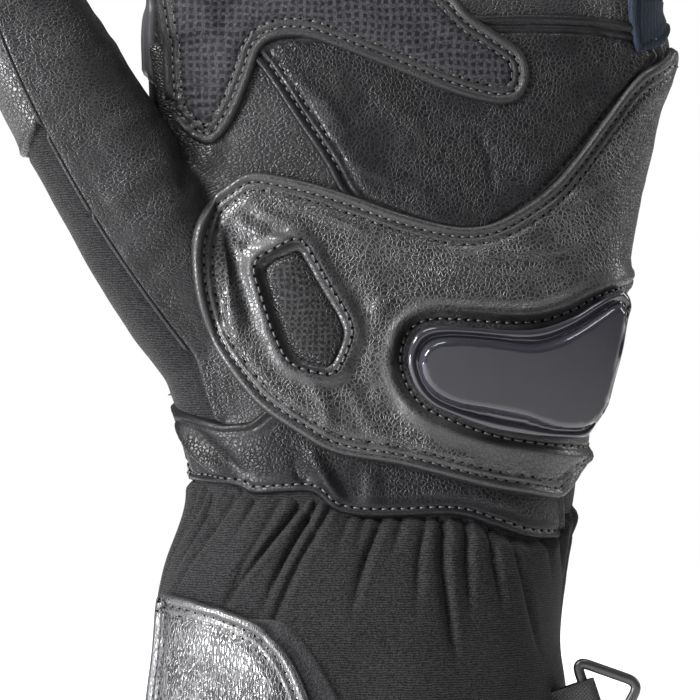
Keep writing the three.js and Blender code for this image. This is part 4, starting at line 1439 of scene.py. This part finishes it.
def thumb_seam(low, high):
    """Points of the skin along the leather's edge on the thumb, with the skin's normals."""
    centre, normal = [], []
    right, back = SEAM_SLANT[0], -SEAM_SLANT[1]
    for t in np.arange(low, high, 0.8):
        x = SEAM_POINT[0]
        inner = np.array([x, (x * right + SEAM_SLANT[2] * t + SEAM_REACH) / back, t])
        start, end = THUMB.world([inner - np.array([back, right, 0]) * 45, inner])
        hit, out, _, _ = SKIN_TREE.ray_cast(Vector(start), Vector(end - start))
        if hit is not None:
            centre.append(hit[:])
            normal.append(out[:])
    centre, normal = np.array(centre), np.array(normal)
    for _ in range(3):
        centre[1:-1] = (centre[:-2] + centre[1:-1] * 2 + centre[2:]) / 4
        normal[1:-1] = (normal[:-2] + normal[1:-1] * 2 + normal[2:]) / 4
    normal /= np.linalg.norm(normal, axis=1)[:, None]
    return centre + normal * 0.5, normal


for name, low, high, body in (
        ("thumb_seam_hand", -38.0, 3.5, "hand"),
        ("thumb_seam_base", -1.5, THUMB.middle + 1.5, digit_body(THUMB, False)),
        ("thumb_seam_tip", THUMB.middle - 1.5, THUMB.middle + 26.0, digit_body(THUMB, True))):
    piping(name, *thumb_seam(low, high), 0.5, EDGE_LEATHER, body)


def skin_part(index, tip):
    """Name and body of the part that a piece of skin covers."""
    if index < 0:
        return "hand", "hand"
    digit = DIGITS[index]
    return f"{digit.name}_{'tip' if tip else 'base'}", digit_body(digit, tip)


for (index, tip, front), (points, faces, normals) in skin_pieces(skin, True).items():
    part, body = skin_part(index, tip)
    capped = index == len(DIGITS) - 1 and tip
    if front:
        name, material = part + "_palm", FINE_LEATHER
        stands_for = () if index < 0 else (part,)
    else:
        name, material = part + "_back", PALM_LEATHER if capped else SOFTSHELL
        stands_for = ("back_shell",) if index < 0 else ()
    settle(make_object(name, points, faces, material, normals), body, stands_for)

inner_skin = skin_mesh("inner_skin", -LINING_DEPTH, 0.0022, 6)
for (index, tip, _), (points, faces, normals) in skin_pieces(inner_skin, False).items():
    part, body = skin_part(index, tip)
    stands_for = ("hand_lining", "hand_insulation") if index < 0 else (part + "_lining",)
    settle(make_object(part + "_lining_skin", points, faces, FLEECE, normals), body, stands_for)


# ------------------------------------------------------------------ cuff
CUFF_COLUMNS = 620


def ring_at(z, offset=0.0, count=CUFF_COLUMNS):
    """Points round the cuff at one height, evenly spaced, from the back's middle round the thumb
    side, with the distance of each from the front's middle."""
    left, right, front, back = (float(v) for v in section(z))
    x, y = oval(1440, (right - left) / 2 + offset, (back - front) / 2 + offset, SECTION_POWER)
    loop = np.column_stack([x + (left + right) / 2, y + (front + back) / 2])
    loop = closed(np.roll(loop, -360, 0))
    total = lengths(loop)[-1]
    where = np.linspace(0, total, count, endpoint=False)
    return walk(loop, where), where - total / 2


def gather_lines():
    """Each gather: place round the cuff at the top, lean, lowest height, depth."""
    rng = np.random.default_rng(5)
    lines = []
    place = -122.0
    while place < 122:
        front = abs(place) < 55
        lean = np.interp(place, (-60, -38, -14, 2, 20, 38, 60), (0.2, 0.5, 0.3, 0, -0.45, -0.5, -0.1))
        lines.append((place, lean + rng.uniform(-0.2, 0.2), rng.choice([56, 66, 74, 80]),
                      rng.uniform(0.5, 1.2) * (1.0 if front else 0.8)))
        if front and rng.random() < 0.4:
            lines.append((place + 1.2, lean - rng.uniform(0.5, 1.0), rng.uniform(78, 84),
                          rng.uniform(0.4, 0.7)))
        place += rng.uniform(3.0, 5.8)
    return lines


GATHERS = gather_lines()


HEM_AT = np.array([(-130, 93), (-60, 98), (-42, 97.5), (-28, 95), (-14, 94.6), (-9, 91), (-3, 90),
                   (15, 90), (20, 89), (26, 86.5), (34, 84.5), (42, 84.8), (50, 92), (130, 93)])


def gather_height(s, z):
    """Fabric puffing out between the gathers' narrow valleys, fading down the cuff."""
    hem_height = np.interp(s, HEM_AT[:, 0], HEM_AT[:, 1])
    puff = 2.0 * smoothstep(58, 80, z) * smoothstep(hem_height + 1.0, hem_height - 2.4, z)
    total = puff - 0.6 * smoothstep(hem_height - 2, hem_height + 1, z)
    for place, lean, low, depth in GATHERS:
        line = place - lean * (92 - z) - 0.004 * lean * (92 - z) ** 2
        strength = smoothstep(low, low + 16, z) * smoothstep(hem_height + 2.5, hem_height + 0.5, z)
        off = s - line
        total -= 2.0 * depth * strength * np.exp(-np.abs(off / 0.95) ** 1.3)
        total += 0.35 * depth * strength * np.exp(-((off - 1.8) / 1.1) ** 2)
    return total


def cuff_mesh(low, high, step, offset, shaped, count=CUFF_COLUMNS):
    rows = np.append(np.arange(low, high, step), high)
    points = []
    for z in rows:
        loop, s = ring_at(z, offset, count)
        p = np.column_stack([loop, np.full(count, z)])
        if shaped:
            out = np.roll(loop, -1, 0) - np.roll(loop, 1, 0)
            out = np.column_stack([out[:, 1], -out[:, 0]])
            out /= np.linalg.norm(out, axis=1)[:, None]
            centre = loop.mean(0)
            out *= np.sign(((loop - centre) * out).sum(1))[:, None]
            rise = gather_height(s, z)
            wide = np.column_stack([s * 0.5, np.full(count, z * 0.35)])
            rise = rise + 0.5 * noise(wide, 6.0, 17) * smoothstep(0, 14, z)
            seam = np.exp(-((s - 66) / 0.8) ** 2) + np.exp(-((s + 66) / 0.8) ** 2)
            rise = rise - 0.7 * seam * smoothstep(70, 60, z)
            p[:, :2] += out * rise[:, None]
        points.append(p)
    return np.concatenate(points), quads(len(rows), count)


settle(make_object("cuff_shell", *cuff_mesh(6.0, CUFF_TOP, 0.75, 0.0, True), SOFTSHELL),
       WRIST_BLEND, ("cuff_shell",))
points, faces = cuff_mesh(4.0, CUFF_TOP + 4, 3.0, -4.6, False, 160)
settle(make_object("cuff_lining", points, [f[::-1] for f in faces], FLEECE), WRIST_BLEND,
       ("cuff_lining", "cuff_insulation"))
points, faces = cuff_mesh(76.0, 99.0, 0.8, -1.6, False, 240)
ribs = 0.35 * np.sin(2 * math.pi * points[:, 2] / 2.4)
points[:, :2] *= (1 + ribs / 45)[:, None]
settle(make_object("wrist_elastic", points, faces, WEBBING), WRIST_BLEND, ("wrist_elastic",))


def hem_ring():
    """Folded binding round the cuff's open edge."""
    outline = []
    for angle in np.linspace(0, 2 * math.pi, 20, endpoint=False):
        c, s = math.cos(angle), math.sin(angle)
        outline.append((-1.9 + 3.0 * np.sign(c) * abs(c) ** 0.6,
                        5.0 + 5.0 * np.sign(s) * abs(s) ** 0.55))
    count = 300
    points = []
    for offset, z in outline:
        loop, _ = ring_at(max(z, 0), offset, count)
        points.append(np.column_stack([loop, np.full(count, z)]))
    return np.concatenate(points), quads(len(outline), count, True)


settle(make_object("hem_binding", *hem_ring(), WEBBING), "cuff", ("hem_binding",))

cuff_points, cuff_faces = cuff_mesh(0, 100, 2.0, 0.0, True, 400)
CUFF_TREE = BVHTree.FromPolygons([Vector(p) for p in cuff_points], cuff_faces)


def cuff_turn(v):
    left, right, front, back = (float(value) for value in section(v))
    return left + 24.0, right - 24.0, 26.0, 26.0, (front + back) / 2


CUFF = Drape(CUFF_TREE, (-90, 4), (90, 96), cuff_turn)
CUFF.grid = CUFF.smoothed(CUFF.grid)     # once more, because the cuff's gathers are coarse


LOOP_EDGE = [(-40, 68.5), (-30, 68.6), (-22, 67.6), (-15.5, 60), (-9.8, 50), (-5.6, 43), (-3.4, 34),
             (-5.2, 24), (-10, 17.5), (-17, 14.5), (-30, 13.8), (-42, 13.6)]
HOOK_EDGE = [(-36, 66), (-28, 65), (-21.5, 57), (-17, 44), (-18.4, 31), (-26, 21), (-40, 17)]
FLAP_EDGE = [(-47.8, 73.2), (-42, 72.2), (-33.5, 69.8), (-28.4, 67.9), (-24.2, 64.6),
             (-21.2, 61.0), (-18.3, 55.2), (-16.2, 49.0), (-14.9, 41), (-14.8, 32), (-17.5, 24),
             (-24, 17.6), (-34, 14.6), (-53.6, 13.2), (-52.0, 30), (-50.1, 50)]
loop_panel = Panel(CUFF, smooth_loop(CUFF.unwrap(LOOP_EDGE), 0.8), 0.5,
                   ((0, -0.4), (0.5, 0.5), (2, 0.8)), rough=0.9, seed=41)
loop_panel.build("loop_patch", LOOP_PILE, "cuff", ("loop_patch",))
hook_panel = Panel(CUFF, smooth_loop(CUFF.unwrap(HOOK_EDGE), 0.8), 1.7, ((0, 0), (1, 0.2)),
                   rough=0.2)
hook_panel.build("flap_hook_pad", HOOKS, "flap", ("flap_hook_pad",), 1.2, 1.0)
# The flap's hinge side is straight; the rest of its edge is one curve.
flap_loop = np.vstack([CUFF.unwrap(FLAP_EDGE[:1]), catmull(CUFF.unwrap(FLAP_EDGE[1:13]), False, 0.8),
                       CUFF.unwrap(FLAP_EDGE[13:])])
FLAP = rounded(resample(flap_loop, True, 2.4), 0.9, 0.8)
flap = Panel(CUFF, FLAP, 3.0, EDGE, [
    ([(-44, 62), (-43, 45), (-45, 25)], 0.5, 3.0),
    ([(-33, 62), (-31, 45), (-33, 25)], -0.4, 3.0),
    ([(-24, 52), (-23, 40), (-26, 28)], 0.35, 2.5),
], rough=0.35, seed=51)
FLAP_BLEND = ("cuff", "flap", (-53.5, -24, 40.2), (-44, -24, 39.1))
flap.build("closure_flap", FLAP_GLARE_LEATHER, FLAP_BLEND, ("closure_flap",), 0.62, 1.5)
stitches("flap_stitching", flap, double_row(FLAP), FLAP_BLEND)


# ------------------------------------------------------------------ clip ring and its webbing
RING_CORNERS = np.array([(41, -16, 58.6), (55.2, -16, 53.6), (47.4, -16, 39.6)], float)
RING_BAR = 1.15


def ring_tube(sides=16):
    """The ring's bar, nearly round in section, along a triangle with rounded corners."""
    flat = rounded(RING_CORNERS[:, [0, 2]], 3.0, 0.35)
    path = np.column_stack([flat[:, 0], np.full(len(flat), RING_CORNERS[0, 1]), flat[:, 1]])
    up = np.array([0, 1.0, 0])
    x, y = oval(sides, RING_BAR, RING_BAR, 2.4)
    points = []
    for k, spot in enumerate(path):
        along = path[(k + 1) % len(path)] - path[k - 1]
        along /= np.linalg.norm(along)
        points.append(spot + x[:, None] * np.cross(along, up) + y[:, None] * up)
    return np.concatenate(points), quads(len(path), sides, True)


settle(make_object("clip_ring", *ring_tube(), PLASTIC), "clip_ring", ("clip_ring",))


def webbing_loop():
    """Webbing folded round the ring's left bar, its ends running back into the cuff."""
    top, low = RING_CORNERS[0], RING_CORNERS[2]
    along = (top - low) / np.linalg.norm(top - low)
    across = np.array([0, 1.0, 0])
    out = np.cross(across, along)
    if out[0] < 0:
        out = -out
    middle = (top + low) / 2
    rim = []
    for angle in np.linspace(-math.pi / 2, math.pi / 2, 11):
        rim.append((math.cos(angle), math.sin(angle)))
    length, near, far = 11.0, RING_BAR + 0.35, RING_BAR + 1.45
    outside = [(-length, -far)] + [(c * far, s * far) for c, s in rim] + [(-length, far)]
    inside_path = [(-length, near)] + [(c * near, s * near) for c, s in rim[::-1]] \
        + [(-length, -near)]
    shape = outside + inside_path
    stations = np.linspace(-5.2, 5.2, 9)
    points = []
    for where in stations:
        pinch = 1 - 0.03 * (where / 5.2) ** 2
        for a, b in shape:
            points.append(middle + out * a + across * b * pinch + along * where)
    count = len(shape)
    faces = quads(len(stations), count)
    half = len(outside)
    for r, flip in ((0, True), (len(stations) - 1, False)):
        base = r * count
        for k in range(half - 1):
            quad = (base + k, base + k + 1, base + count - 2 - k, base + count - 1 - k)
            faces.append(quad if flip else quad[::-1])
    return np.array(points), faces


settle(make_object("ring_webbing", *webbing_loop(), WEBBING), "cuff", ("ring_webbing",))


# ------------------------------------------------------------------ back of the hand
KNUCKLE_EDGE = [(-46, 181), (-47.5, 190), (-46, 197), (-38, 202), (-20, 203), (0, 203.4), (22, 203),
                (48, 201.5), (55, 196), (57, 189), (54, 181), (44, 176), (10, 173.5), (-30, 175)]
KNUCKLE = smooth_loop(KNUCKLE_EDGE, 0.9)

for side, path in (("left", [(-31, 168), (-27, 150), (-29, 128), (-34, 104)]),
                   ("right", [(36, 168), (31, 150), (30, 128), (34, 104)])):
    path = catmull(path, False, 0.7)
    piping("back_seam_" + side, *BACK.place(path, np.full(len(path), 0.5)), 0.55, SOFTSHELL, "hand")


def knuckle_shape(uv):
    """Four soft domes over the knuckles with channels between them."""
    total = np.zeros(len(uv))
    inside_pad = edge_depth(uv, KNUCKLE)
    for middle in (-31, -5, 21, 44):
        total += 1.5 * np.exp(-((uv[:, 0] - middle) / 7.5) ** 2) * smoothstep(2, 9, inside_pad)
    return total


knuckles = Panel(BACK, KNUCKLE, 0.8, ((0, -0.5), (0.4, 0.3), (1, 0.7), (1.8, 0.3), (3, 1.0),
                                      (6, 2.0), (10, 2.3)), rough=0.25, extra=knuckle_shape)
pad = knuckles.build("knuckle_pad", FINE_LEATHER, "hand", ("knuckle_pad",), 0.8)
stitches("knuckle_stitching", knuckles, [closed(inset(KNUCKLE, 1.8))], "hand")


# ------------------------------------------------------------------ camera, light and floor
VIEW_CENTRE = np.array([-8.3, 0, 126.5])
VIEW_WIDTH = 152.2
DISTANCE = 950.0
PALM_FACE_Y = -22.0

camera = bpy.data.cameras.new("camera")
camera.sensor_width = 36
camera.lens = 36 * DISTANCE / VIEW_WIDTH
camera.clip_start, camera.clip_end = 0.01, 20
camera_object = add_object("camera", camera)
camera_object.location = to_frame(VIEW_CENTRE + np.array([0, PALM_FACE_Y - DISTANCE, 0]))
camera_object.rotation_euler = (math.pi / 2, 0, 0)
bpy.context.scene.camera = camera_object


def softbox(name, place, aim, size, power, colour):
    """A rectangular lamp, its power in watts, turned to a spot over the floor's middle."""
    lamp = bpy.data.lights.new(name, "AREA")
    lamp.shape = "RECTANGLE"
    lamp.size, lamp.size_y = size
    lamp.energy = power
    lamp.color = colour
    thing = add_object(name, lamp)
    thing.location = place
    to_spot = Vector((0, 0, aim)) - Vector(place)
    thing.rotation_euler = to_spot.to_track_quat("-Z", "Y").to_euler()


softbox("upper_left", (-0.75, -0.55, 0.85), 0.12, (0.35, 0.35), 47.0, (1.0, 0.99, 0.97))
softbox("lower_left", (-0.62, -0.4, 0.05), 0.09, (0.2, 0.3), 23.0, (0.97, 0.98, 1.0))
softbox("right", (0.75, 0.15, 0.45), 0.12, (0.3, 0.5), 5.0, (1, 1, 1))
softbox("top", (0.1, -0.15, 0.95), 0.1, (0.4, 0.3), 5.0, (1, 1, 1))

# The studio is white to the camera, and much dimmer as a light.
STUDIO_LIGHT = 0.25
world = bpy.data.worlds.new("studio")
world.use_nodes = True
sky = Net(world.node_tree)
seen_directly = sky.put("ShaderNodeLightPath").outputs["Is Camera Ray"]
brightness = sky.ramp(seen_directly, 0, 1, STUDIO_LIGHT, 1.0)
sky.fill(world.node_tree.nodes["Background"], {"Color": (1, 1, 1, 1), "Strength": brightness})
bpy.context.scene.world = world
bpy.context.scene.view_settings.view_transform = "Standard"

FLOOR_HALF = 1.3
floor_mesh = bpy.data.meshes.new("floor")
floor_corners = [(x * FLOOR_HALF, y * FLOOR_HALF, 0) for x, y in ((-1, -1), (1, -1), (1, 1), (-1, 1))]
floor_mesh.from_pydata(floor_corners, [], [(0, 1, 2, 3)])
floor = add_object("floor", floor_mesh)
paper = bpy.data.materials.new("white_paper")
paper.use_nodes = True
Net(paper.node_tree).fill(paper.node_tree.nodes["Principled BSDF"], {
    "Base Color": (0.9, 0.9, 0.9, 1), "Roughness": 0.9, "Emission Color": (1, 1, 1, 1),
    "Emission Strength": 0.5})
floor_mesh.materials.append(paper)
